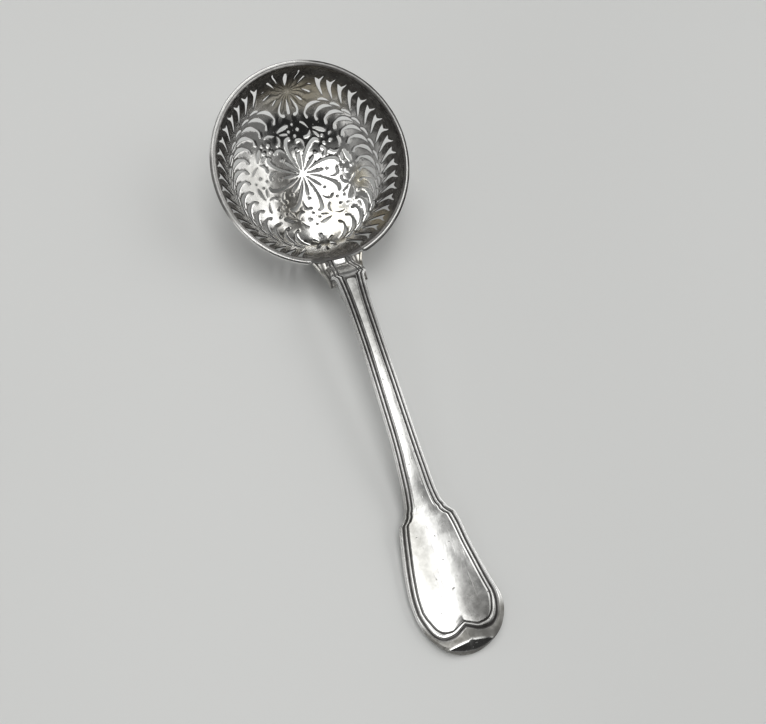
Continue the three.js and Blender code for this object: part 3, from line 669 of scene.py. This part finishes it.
def ridge(x, side_y):
    """Height added at the tip: a rise to the crest, the fall beyond it, and a keel to its peak."""
    fade = 1 - smooth(np.abs(side_y), 6.8, 10.5)
    beyond = x - crest_line(side_y)
    fall = np.where(beyond > 0, BEYOND_CREST[0] * beyond + BEYOND_CREST[1] * beyond ** 2, 0)
    rise = CREST_RISE * smooth(beyond, -3.6, 0.0) ** 1.5
    keel = KEEL_RISE * np.exp(-(side_y / KEEL_HALF_WIDTH) ** 2) * smooth(x, 131.0, 132.1) * (beyond < 0)
    return fade * (fall + rise) + keel * fade


def toward(a, b, by):
    """Points moved from a towards b, at most nearly half way."""
    gap = b - a
    length = np.maximum(np.linalg.norm(gap, axis=1), 1e-6)
    return a + gap * (np.minimum(by, 0.48 * length) / length)[:, None]


def make_handle(material):
    rows, grow = lines_across()
    edge, first, second, middle = (rows[:, k] for k in range(4))
    columns, relief, tarnish = [], [], []

    def add(points, height, dirt_and_shade=0.0):
        columns.append(points)
        relief.append(np.broadcast_to(height, len(points)).astype(float))
        tarnish.append(np.broadcast_to(dirt_and_shade, len(points)).astype(float))

    # Columns from the edge inwards: the rounded edge and the bead, the two grooves with a fillet
    # between them, and the panel
    width = [blend(pair, grow) for pair in GROOVE_HALF_WIDTH]
    depth = [blend(pair, grow) for pair in GROOVE_DEPTH]
    soft = EDGE_ROUNDING + TIP_ROUNDING * smooth(edge[:, 0], tip_at - 4.5, tip_at - 1)
    for turn in np.linspace(0, math.pi / 2, 8):
        add(toward(edge, first, soft * (1 - math.cos(turn))), -soft * (1 - math.sin(turn)))
    inner_start = toward(edge, first, soft)
    bead_end = toward(first, edge, width[0])
    for t in np.linspace(0, 1, 24)[1:-1]:
        add(inner_start + (bead_end - inner_start) * t,
            (BEAD_RISE + FIDDLE_BEAD_RISE * grow) * math.sin(math.pi * t))
    grooves = len(columns)
    bell = 0.5 + 0.5 * np.cos(np.linspace(-math.pi, math.pi, 9))
    # The grooves are blackened: tarnish in them and painted shade
    for k, (centre, before, after) in enumerate([(first, edge, second), (second, first, middle)]):
        for t, low in zip(np.linspace(-1, 1, 9), bell):
            here = toward(centre, before, -t * width[k]) if t <= 0 else toward(centre, after, t * width[k])
            add(here, -depth[k] * low ** 0.7, low ** 0.3)
        if k == 0:
            a, b = toward(first, second, width[0]), toward(second, first, width[1])
            for t in (0.2, 0.4, 0.6, 0.8):
                add(a + (b - a) * t, FILLET_RISE * math.sin(math.pi * t))
    panel_start = toward(second, middle, width[1])
    panel = len(columns)
    for t in np.linspace(0, 1, 15)[1:]:
        add(panel_start + (middle - panel_start) * t, 0)
    xy, relief, tarnish = (np.stack(values, 1) for values in (columns, relief, tarnish))
    x, y = xy[:, :, 0], xy[:, :, 1]
    # The panel is crowned, and starts past the ramp with rounded corners
    share = clamp(y[:, panel:] / np.maximum(panel_start[:, 1:2], 1e-6))
    inside = np.linalg.norm(xy[:, panel:] - panel_start[:, None], axis=2)
    crown = PANEL_CROWN * (panel_start[:, 1:2] / FIDDLE_HALF_WIDTH) * (1 - share ** 2)
    past = x[:, panel:] - PANEL_START
    short = [np.maximum(PANEL_CORNER - gap, 0) for gap in (past, inside)]
    on = smooth(PANEL_CORNER - np.hypot(*short), 0.0, 0.4)
    hollow = RAMP_RECESS * (1 - 0.25 * share ** 2) * smooth(x[:, panel:], -1.5, 3.0)
    relief[:, panel:] = on * crown - (1 - on) * hollow
    # Darker on the ramp and at the panel's start: painted shade of the step
    tarnish[:, panel:] = (1 - on) * (0.35 * smooth(past, -6.5, -4.0) + 0.55 * smooth(past, -1.2, -0.2))
    top = between(TOP, x) + relief
    count = xy.shape[1]
    # The underside has fewer columns
    back = np.array([0, 2, 4, 7, *range(12, count - 3, 5), count - 1])
    bx = x[:, back]
    rounding = smooth(bx, WING_LENGTH, WING_LENGTH + RAMP_LENGTH)
    inset = np.linalg.norm(xy[:, back] - edge[:, None], axis=2)
    fullness = 1 - rounding * 0.58 * np.exp(-inset / 0.75)
    # The round end is bent a little to one side, and a painted grey reflection lies round its crest, which
    # is left bright
    to_edge = np.maximum(np.linalg.norm(edge - first, axis=1), 1e-6)[:, None]
    bead = np.linalg.norm(xy - first[:, None], axis=2) / to_edge
    bead[:, grooves:] = 0
    waist = band(x, 96, 108, 117, 128)
    bulge = band(x, 110, 132, 134.5, 139.8) * smooth(bead, 0.15, 1)
    under = between(UNDER, bx) - between(THICKNESS, bx) * fullness
    uppers, lowers, stains_and_reflections = [], [], []
    for side in (-1, 1):
        wide = y * (1 - WAIST_SHARE * waist) + BULGES[1] * bulge if side > 0 else -y + BULGES[0] * bulge
        wide = wide + END_BEND * smooth(x, 114, 130)
        lower_side = 139.42 + 0.098 * wide - 0.0233 * wide ** 2
        off_crest = 1 - smooth(x - crest_line(wide), -0.9, -0.3) + smooth(x - lower_side, -0.4, 0.1)
        crest_reflection = smooth(x, 125, 130.5) * clamp(off_crest)
        crest_reflection[:, grooves:] = 0
        stains_and_reflections.append(crest_reflection)
        uppers.append(np.stack([x, wide, top + ridge(x, wide)], 2))
        lowers.append(np.stack([bx, wide[:, back], under], 2))

    def around(right, left, under_right, under_left):
        """Columns all the way round, of which the two sides share the middle ones."""
        return join([right, left[:, -2::-1], under_left, under_right[:, -2::-1]], 1)

    loops = around(*uppers, *lowers)
    loops[:, :, 2] = np.maximum(loops[:, :, 2], 0.0)
    loops[:, :, 0] += head_at
    none = 0 * bx
    # The underside is darkened a little: painted shade
    dirt_and_shade = around(tarnish, tarnish, 0.2 + none, 0.2 + none)
    crest_reflection = around(*stains_and_reflections, none, none)
    points = loops.reshape(-1, 3)
    index = np.arange(len(points)).reshape(len(rows), -1)
    # The last row lies on the axis, where both sides share their points
    for start, columns_in_half in ((0, count), (2 * count - 1, len(back))):
        for j in range(columns_in_half - 1):
            index[-1, start + 2 * columns_in_half - 2 - j] = index[-1, start + j]
    faces = [face[::-1] for face in ring_faces(index)] + [index[0]]
    used = np.unique(join(faces))
    new = np.full(len(points), -1)
    new[used] = np.arange(len(used))
    return piece("threaded_handle", points[used], [new[face] for face in faces], material, "handle_silver",
                 "handle", tarnish=dirt_and_shade.reshape(-1)[used], patina=crest_reflection.reshape(-1)[used])


def slab(upper, lower, rows, columns):
    """Points and faces of a closed body between two grids of points."""
    count = rows * columns
    index = np.arange(count).reshape(rows, columns)
    quads = np.stack([index[:-1, :-1], index[1:, :-1], index[1:, 1:], index[:-1, 1:]], -1).reshape(-1, 4)
    border = join([index[0, :-1], index[:-1, -1], index[-1, :0:-1], index[:0:-1, 0]])
    faces = [*quads, *(quads[:, ::-1] + count)]
    faces += [(a, b, b + count, a + count) for a, b in round_pairs(border)]
    return join([upper.reshape(-1, 3), lower.reshape(-1, 3)]), faces


def quarter_round(share):
    """A quarter circle: 1 at 0, and 0 at 1 and beyond."""
    return np.sqrt(clamp(1 - clamp(share) ** 2))


def make_wings(material):
    """The plate that spreads from under the head of the handle into two wings along the rim."""
    rows, columns = 44, 61
    t = np.linspace(0, 1, rows)[:, None]
    side = np.sin(np.linspace(-math.pi / 2, math.pi / 2, columns) * 0.999)[None, :] * np.ones((rows, 1))
    turn = math.asin(WING_HALF_WIDTH / strip_inside) * side
    rim = np.stack([strip_inside * np.cos(turn), strip_inside * np.sin(turn), 0 * turn], -1) @ TURN.T
    narrowing = 1 - (1 - t) ** WING_SWEEP
    x = (rim[..., 0] - rim_edge[0]) * (1 - t) + WING_LENGTH * t
    y = rim[..., 1] * (1 - narrowing) + WING_END_HALF_WIDTH * side * narrowing
    lift = rim[..., 2] + bowl_height - rim_edge[2]
    z = between(UNDER, x) - between(THICKNESS, x) - 0.06 + lift * (1 - t)
    from_side = (1 - np.abs(side)) * np.abs(y).max(1, keepdims=True)
    margin = np.minimum(from_side, (1 - t) * (WING_LENGTH + 1.3))
    edge = WING_ROUNDING * (1 - quarter_round(1 - clamp(margin / WING_ROUNDING)))
    cove = WING_COVE * smooth(margin, 0.5, 1.6) * smooth(np.abs(y), WING_COVE_AT - 1, WING_COVE_AT)
    upper = np.stack([x + head_at, y, z + WING_LIFT - edge - cove], -1)
    lower = np.stack([x + head_at, y, z - WING_THICKNESS + 0.9 * edge], -1)
    points, faces = slab(upper, lower, rows, columns)
    # Darker along each wing's cove and on the underside: painted shade
    dirt_and_shade = clamp(1 - np.abs(np.abs(y) - WING_COVE_AT) / 0.8).reshape(-1)
    return piece("winged_plate", points, faces, material, "joint_silver", "wing_plate",
                 tarnish=join([dirt_and_shade, 0.3 + 0 * dirt_and_shade]))


def make_drop(material):
    """The rounded drop on the back of the bowl."""
    rows, columns = 46, 33
    length = np.linspace(0, 1, rows)
    table = np.arange(len(DROP_WIDTH_SHARES))
    place = np.linspace(0, table[-1], rows)
    width = between(np.c_[table, DROP_WIDTH_SHARES], place)
    thick = between(np.c_[table, DROP_THICKNESS_SHARES], place)
    last = np.linspace(0, 1, DROP_ROUND_ROWS)
    width[-DROP_ROUND_ROWS:] = width[-DROP_ROUND_ROWS] * np.sqrt(np.clip(1 - last ** 2, 0.004, 1))
    out = meridian_length - HEAD_THICKNESS - WING_SEAM - WING_THICKNESS - 2 * SEAM_GAP - DROP_LENGTH * length
    side = np.sin(np.linspace(-math.pi / 2, math.pi / 2, columns))
    across = DROP_HALF_WIDTH * width[:, None] * side[None, :]
    turn = np.arctan2(across, out[:, None])
    along = out[:, None] * np.ones_like(turn)
    seat = half_sheet - 0.05
    crown = np.sqrt(clamp(1 - side ** 2))[None, :] ** 0.7
    end = quarter_round((length - 0.86) / 0.14)[:, None]
    height = (DROP_THICKNESS + SEAM_GAP) * thick[:, None] * crown * (0.15 + 0.85 * end)
    flat = np.stack([along * np.cos(turn), along * np.sin(turn)], -1)
    thin = thinned(flat.reshape(-1, 2)).reshape(turn.shape)
    near, far = (tilted(sheet_point(along, turn, offset)) for offset in (seat - thin, seat + 0.03 + height))
    points, faces = slab(near, far, rows, columns)
    # Blackened on its seat against the bowl and darker towards its edges: painted shade between the drop and
    # the bowl
    dirt_and_shade = (1 - crown * end).reshape(-1)
    return piece("back_drop_rounded", points, faces, material, "joint_silver", "back_drop",
                 tarnish=join([1 + 0 * dirt_and_shade, 0.6 * dirt_and_shade]))


# Materials. Their nodes measure in metres, and the patches of stain and painted reflection and the
# engravings in millimetres.
class Nodes:
    """Short calls for the nodes of one material or of the world."""

    def __init__(self, owner):
        owner.use_nodes = True
        self.tree = owner.node_tree
        self.shader = self.tree.nodes.get("Principled BSDF")
        coordinates = self.add("ShaderNodeTexCoord", {})
        self.place, self.direction = coordinates.outputs["Object"], coordinates.outputs["Generated"]

    def add(self, kind, inputs, **settings):
        node = self.tree.nodes.new(kind)
        for key, value in settings.items():
            setattr(node, key, value)
        return self.fill(node, inputs)

    def fill(self, node, inputs):
        """Gives a node's inputs their values or their links."""
        for key, value in inputs.items():
            if isinstance(value, bpy.types.NodeSocket):
                self.tree.links.new(value, node.inputs[key])
            else:
                node.inputs[key].default_value = value
        return node

    def math(self, operation, a, b, clamp=False):
        return self.add("ShaderNodeMath", {0: a, 1: b}, operation=operation, use_clamp=clamp).outputs[0]

    def times(self, a, b, clamp=False):
        return self.math("MULTIPLY", a, b, clamp)

    def plus(self, a, b, clamp=False):
        return self.math("ADD", a, b, clamp)

    def larger(self, a, b):
        return self.math("MAXIMUM", a, b)

    def inverse(self, a):
        return self.math("SUBTRACT", 1.0, a)

    def mapped(self, scale, turn=(0, 0, 0), offset=(0, 0, 0)):
        values = {"Vector": self.place, "Location": offset, "Rotation": turn, "Scale": scale}
        return self.add("ShaderNodeMapping", values).outputs[0]

    def vector_math(self, operation, vector, other=(0, 0, 0)):
        values = {0: vector, 1: other}
        return self.add("ShaderNodeVectorMath", values, operation=operation).outputs["Value"]

    def noise(self, vector, scale, detail=3.0, rough=0.5):
        values = {"Vector": vector, "Scale": scale, "Detail": detail, "Roughness": rough}
        return self.add("ShaderNodeTexNoise", values).outputs["Fac"]

    def spread(self, value, low, high, out_low=0.0, out_high=1.0):
        values = dict(enumerate((value, low, high, out_low, out_high)))
        return self.add("ShaderNodeMapRange", values, interpolation_type="SMOOTHSTEP").outputs[0]

    def mix(self, share, a, b):
        a, b = ((*color, 1) if isinstance(color, tuple) else color for color in (a, b))
        return self.add("ShaderNodeMix", {0: share, 6: a, 7: b}, data_type="RGBA").outputs[2]

    def bump(self, height, distance, strength, normal=None):
        values = {"Height": height, "Distance": distance, "Strength": strength}
        if normal:
            values["Normal"] = normal
        return self.add("ShaderNodeBump", values).outputs[0]


# Colours: black for the blackened places, partly tarnish and partly painted shade; a dark grey for painted
# dark reflections; a brassy stain; and the dark coat, partly old patina and partly painted dark reflection.
TARNISH_AND_SHADE_BLACK = (0.016, 0.013, 0.012)
DARK_REFLECTION_GREY = (0.115, 0.113, 0.108)
BRASSY = (0.66, 0.57, 0.4)
OLD_COAT_AND_DARK_REFLECTION = (0.11, 0.102, 0.094)
SILVER_SPECULAR = 0.12
SCRATCH_TURNS = (0.35, 1.35, 2.45)
# How much rougher scratches, matte patches and the blackened places (tarnish and painted shade) are
SCRATCH_ROUGHNESS, MATTE_ROUGHNESS, DIRT_ROUGHNESS = 0.12, 0.3, 0.3
# Bumps of noise: (scale, detail, roughness, distance). Dents have a strength for each material.
DENTS = [(160.0, 1.5, 0.4, 0.0002), (430.0, 2.0, 0.5, 0.00008)]
GRAIN, GRAIN_STRENGTH = (900.0, 2.0, 0.5, 0.00002), 0.25
# Bumps of lines: (distance, strength)
SCRATCH_BUMP, ENGRAVED_BUMP = (0.00002, 0.3), (0.00012, 1.0)
ENGRAVED_DIRT = 0.7
SAWN_BARE = 0.85


def scratches(nodes, seed):
    """Thin scratches in three directions, 0 to 1."""
    found = 0.0
    for k, turn in enumerate(SCRATCH_TURNS):
        place = nodes.mapped((26, 900, 900), (0.2 * k, 0.15, turn + seed), (seed, k, 0))
        thin = nodes.spread(nodes.noise(place, 1.0, 2.0, 0.4), 0.66, 0.74)
        clouds = nodes.noise(nodes.mapped((1, 1, 1), offset=(k, seed, 3)), 130.0, 1.0)
        found = nodes.larger(found, nodes.times(thin, nodes.spread(clouds, 0.42, 0.6)))
    return found


def patch(nodes, centre, reach, softness=0.7):
    """1 near a point and 0 further off than its reach, with an uneven edge."""
    place = nodes.mapped([1000 / r for r in reach], offset=[-c / r for c, r in zip(centre, reach)])
    far = nodes.vector_math("LENGTH", place)
    ragged = nodes.times(nodes.math("SUBTRACT", nodes.noise(nodes.place, 190.0, 4.0, 0.6), 0.5), 0.7)
    return nodes.spread(nodes.plus(far, ragged), 1 - softness, 1 + softness, 1.0, 0.0)


def engraving(nodes, centre, up, count, reach):
    """Uneven lines that run out from a point, 0 to 1."""
    place = nodes.mapped((1000, 1000, 1000), offset=[-c for c in centre])
    far = nodes.vector_math("LENGTH", place)
    across, along = (nodes.vector_math("DOT_PRODUCT", place, axis) for axis in ((0, 1, 0), up))
    turn = nodes.times(nodes.math("ARCTAN2", across, along), count)
    uneven = nodes.times(nodes.noise(nodes.place, 260.0, 2.0), 9.0)
    line = nodes.spread(nodes.math("SINE", nodes.plus(turn, uneven), 0.0), 0.1, 0.9)
    near = nodes.times(nodes.spread(far, 0.6, 1.8), nodes.spread(far, 0.5 * reach, reach, 1.0, 0.0))
    return nodes.times(line, near)


def silver(name, base, warm, roughness, seed, warm_from, dents=0.35, stains_and_reflections=(), coat_and_reflection=OLD_COAT_AND_DARK_REFLECTION,
           coat_matte=0.0, engraved=()):
    """Worn silver: polish that varies, scratches, small dents, and blackening that is partly tarnish and
    partly painted shade. The meshes say how far each point is blackened (tarnish and painted shade),
    coated (patina and painted reflection) or sawn, and the patches hardly reach what is sawn. Rows of
    stains_and_reflections are (centre, reach, colour, share, how matte): stains, and painted reflections
    and shade. Rows of engraved are (centre, direction of its axis, count of lines, reach)."""
    material = bpy.data.materials.new(name)
    nodes = Nodes(material)
    plain = nodes.mapped((1, 1, 1), offset=(seed, 0, 0))
    large = nodes.noise(plain, 55.0, 2.0)
    fine = nodes.noise(plain, 420.0, 4.0, 0.6)
    recess, patina, sawn = (nodes.add("ShaderNodeAttribute", {}, attribute_name=key).outputs["Fac"]
                            for key in ("tarnish", "patina", "sawn"))
    skin = nodes.inverse(nodes.times(sawn, SAWN_BARE))
    marks = scratches(nodes, seed)
    lines = [engraving(nodes, *row) for row in engraved]
    dirt_and_shade = nodes.times(recess, nodes.spread(fine, 0.3, 0.7, 0.9, 1.0), clamp=True)
    pits = nodes.spread(nodes.noise(plain, 750.0, 1.0, 0.4), 0.745, 0.775, 0.0, 0.6)
    for value in [pits, *(nodes.times(line, ENGRAVED_DIRT) for line in lines)]:
        dirt_and_shade = nodes.larger(dirt_and_shade, value)
    # Colour, and how matte the patches and the dark coat (old patina and painted reflection) make it
    color = nodes.mix(nodes.spread(fine, 0.3, 0.7), base, tuple(0.93 * c for c in base))
    stain = nodes.times(nodes.spread(large, warm_from, warm_from + 0.16),
                        nodes.spread(fine, 0.35, 0.65, 0.5, 1.0))
    color = nodes.mix(nodes.times(stain, 0.75), color, warm)
    cover = nodes.times(patina, nodes.spread(fine, 0.3, 0.7, 0.75, 0.95))
    color = nodes.mix(cover, color, coat_and_reflection)
    matte = nodes.times(cover, coat_matte)
    # Patches of stain, and of painted reflection and shade
    for centre, reach, tint, share, how_matte in stains_and_reflections:
        here = nodes.times(patch(nodes, centre, reach), skin)
        cover = nodes.times(here, nodes.spread(fine, 0.25, 0.75, 0.8 * share, share))
        color = nodes.mix(cover, color, tint)
        matte = nodes.larger(matte, nodes.times(cover, how_matte))
    worn = nodes.spread(nodes.noise(plain, 170.0, 3.0, 0.6), 0.35, 0.7, *roughness)
    for value, share in ((marks, SCRATCH_ROUGHNESS), (matte, MATTE_ROUGHNESS), (dirt_and_shade, DIRT_ROUGHNESS)):
        worn = nodes.plus(worn, nodes.times(value, share), clamp=True)
    normal = None
    for (*pattern, height), strength in [*((row, dents) for row in DENTS), (GRAIN, GRAIN_STRENGTH)]:
        normal = nodes.bump(nodes.noise(plain, *pattern), height, strength, normal)
    for value, bump in [(marks, SCRATCH_BUMP), *((line, ENGRAVED_BUMP) for line in lines)]:
        normal = nodes.bump(nodes.inverse(value), *bump, normal)
    # Blackening, partly tarnish and partly painted shade
    color = nodes.mix(dirt_and_shade, color, TARNISH_AND_SHADE_BLACK)
    metal = nodes.times(nodes.inverse(dirt_and_shade), nodes.inverse(matte))
    nodes.fill(nodes.shader, {"Base Color": color, "Metallic": metal, "Roughness": worn,
                              "Specular IOR Level": SILVER_SPECULAR, "Normal": normal})
    return material


# Patches on the bowl: the warm ones are stains, the dark and grey ones at and beside the bottom are darker
# patches, and the last, on the +Y wall, is a painted dark reflection.
BOWL_STAINS_AND_REFLECTIONS = [
    ((-97, 5, 22), (5, 13, 5), (0.85, 0.76, 0.58), 0.85, 0.7),
    ((-50.6, 20.5, 8.5), (5, 3.5, 5), BRASSY, 0.7, 0.5),
    ((-70, 20, 6), (4, 2.5, 5), (0.85, 0.77, 0.56), 0.7, 0.1),
    ((-66, -7.5, 2), (9, 6, 6), (0.14, 0.127, 0.102), 0.85, 0.1),
    ((-78, -7, 5), (8, 5, 6), (0.19, 0.183, 0.17), 0.85, 0.3),
    ((-76, -17, 8), (10, 4.5, 6), (0.62, 0.61, 0.58), 0.7, 0.8),
    ((-59, 7, 1), (7, 5, 6), (0.72, 0.66, 0.5), 0.6, 0.3),
    ((-81, 24.5, 13), (11, 5, 8), DARK_REFLECTION_GREY, 0.92, 0.3),
]
FAR_FLOWER_LINES = [((-99.8, 0.4, 22.5), (-0.3, 0, 0.954), 17, 12)]
# Painted reflections on the handle: grey on the fiddle's -Y side, dark grey on its +Y side, and dark and
# grey on the stem near the bowl
HANDLE_PAINTED_REFLECTIONS = [
    ((64, -6, 4), (20, 4.2, 9), (0.29, 0.285, 0.268), 0.9, 0.1),
    ((91, 6.5, 4), (13, 6.2, 9), DARK_REFLECTION_GREY, 0.95, 0.1),
    ((-23, 0, 24), (11, 6, 10), (0.075, 0.075, 0.072), 0.95, 0.1),
    ((-8, 0, 22), (15, 6, 12), (0.17, 0.168, 0.16), 0.8, 0.1),
]
bowl_silver = silver("bowl_silver", (0.86, 0.855, 0.84), (0.7, 0.62, 0.46), (0.08, 0.2), seed=1.7,
                     warm_from=0.6, dents=0.5, stains_and_reflections=BOWL_STAINS_AND_REFLECTIONS, engraved=FAR_FLOWER_LINES)
rim_silver = silver("rim_silver", (0.88, 0.875, 0.86), (0.7, 0.62, 0.48), (0.1, 0.2), seed=4.1,
                    warm_from=0.68)
handle_silver = silver("handle_silver", (0.87, 0.868, 0.855), (0.74, 0.68, 0.56), (0.14, 0.26), seed=8.3,
                       warm_from=0.66, dents=0.12, stains_and_reflections=HANDLE_PAINTED_REFLECTIONS, coat_and_reflection=(0.15, 0.143, 0.126),
                       coat_matte=0.6)
# Darker copy of the silver for the plate and the drop: painted shade under the handle's head and behind the
# bowl
joint_silver = silver("joint_silver", (0.62, 0.61, 0.58), (0.5, 0.44, 0.33), (0.2, 0.34), seed=2.9,
                      warm_from=0.6)

make_bowl(bowl_silver)
make_strip(rim_silver)
make_handle(handle_silver)
make_wings(joint_silver)
make_drop(joint_silver)


# Camera
camera_data = bpy.data.cameras.new("camera")
camera = add_object("camera", camera_data)
scene.camera = camera
camera_data.sensor_width = 36
camera_data.lens = 42.30
camera_data.shift_y = 0.1018
camera_data.clip_start = 0.01
camera.location = (0.09554, -0.07412, 0.29280)
camera.rotation_euler = [math.radians(a) for a in (16.77773, -8.34222, 70.57310)]


# Floor and light
floor_mesh = bpy.data.meshes.new("floor")
floor_mesh.from_pydata([(-3, -3, 0), (3, -3, 0), (3, 3, 0), (-3, 3, 0)], [], [(0, 1, 2, 3)])
floor = add_object("floor", floor_mesh)
floor_material = bpy.data.materials.new("floor")
floor_nodes = Nodes(floor_material)
floor_color = floor_nodes.mix(floor_nodes.noise(floor_nodes.place, 3.0, 2.0),
                              (0.69, 0.695, 0.69), (0.73, 0.735, 0.73))
floor_look = {"Base Color": floor_color, "Roughness": 0.35, "Specular IOR Level": 0.3}
floor_nodes.fill(floor_nodes.shader, floor_look)
floor_mesh.materials.append(floor_material)


# The studio: a large soft light overhead, leaning away from the handle, a tall one on the left of
# the spoon, a dim one on its right, and a dark side beyond the tip
world = bpy.data.worlds.new("studio")
scene.world = world
sky = Nodes(world)


def soft_step(value, at, softness):
    return sky.spread(value, at - softness, at + softness)


def soft_box(low_x, high_x, low_y, high_y, softness):
    """1 inside a box of directions and 0 outside it. Straight up is 0, and the horizon is 1."""
    sides = [sky.times(soft_step(value, low, softness), sky.inverse(soft_step(value, high, softness)))
             for value, low, high in ((sky_x, low_x, high_x), (sky_y, low_y, high_y))]
    return sky.times(*sides)


parts = sky.add("ShaderNodeSeparateXYZ", {0: sky.direction})
rise = sky.larger(sky.plus(parts.outputs[2], 1.0), 0.2)
sky_x, sky_y = (sky.math("DIVIDE", parts.outputs[k], rise) for k in (0, 1))
# Boxes of directions: lowest and highest x and y, softness and level. The first one is the dark side.
AMBIENT = 0.17
LIGHTS = [
    (0.24, 0.62, -0.25, 0.36, 0.07, -0.15),
    (-0.3, 0.23, 0.3, 0.52, 0.05, 0.9),
    (-0.32, 0.22, 0.31, 0.78, 0.07, 0.8),
    (-0.06, 0.5, -0.52, -0.33, 0.05, 0.7),
    (-0.36, -0.1, -0.48, -0.35, 0.05, 0.4),
    (-0.5, 0.5, -0.98, -0.6, 0.06, 0.6),
]
OVERHEAD_LEVEL = 2.4
DIM_SPOT, DIM_SHARE = (-0.24, -0.12, -0.16, -0.03, 0.03), 0.8
level = AMBIENT
for *box, strength in LIGHTS:
    level = sky.plus(level, sky.times(soft_box(*box), strength))
# The light overhead narrows towards the tip and has a dim spot
right_edge = sky.plus(sky_y, sky.times(sky_x, 0.15))
left_edge = sky.plus(sky_y, sky.times(sky_x, -0.3))
above = sky.times(soft_step(sky_x, -0.42, 0.05), sky.inverse(soft_step(sky_x, 0.18, 0.04)))
above = sky.times(above, sky.inverse(soft_step(right_edge, 0.142, 0.025)))
above = sky.times(above, soft_step(left_edge, -0.13, 0.03))
above = sky.times(above, sky.inverse(sky.times(soft_box(*DIM_SPOT), DIM_SHARE)))
level = sky.plus(level, sky.times(above, OVERHEAD_LEVEL))
sky.fill(world.node_tree.nodes["Background"], {"Strength": level, "Color": (1, 1, 0.985, 1)})

scene.view_settings.view_transform = "Standard"
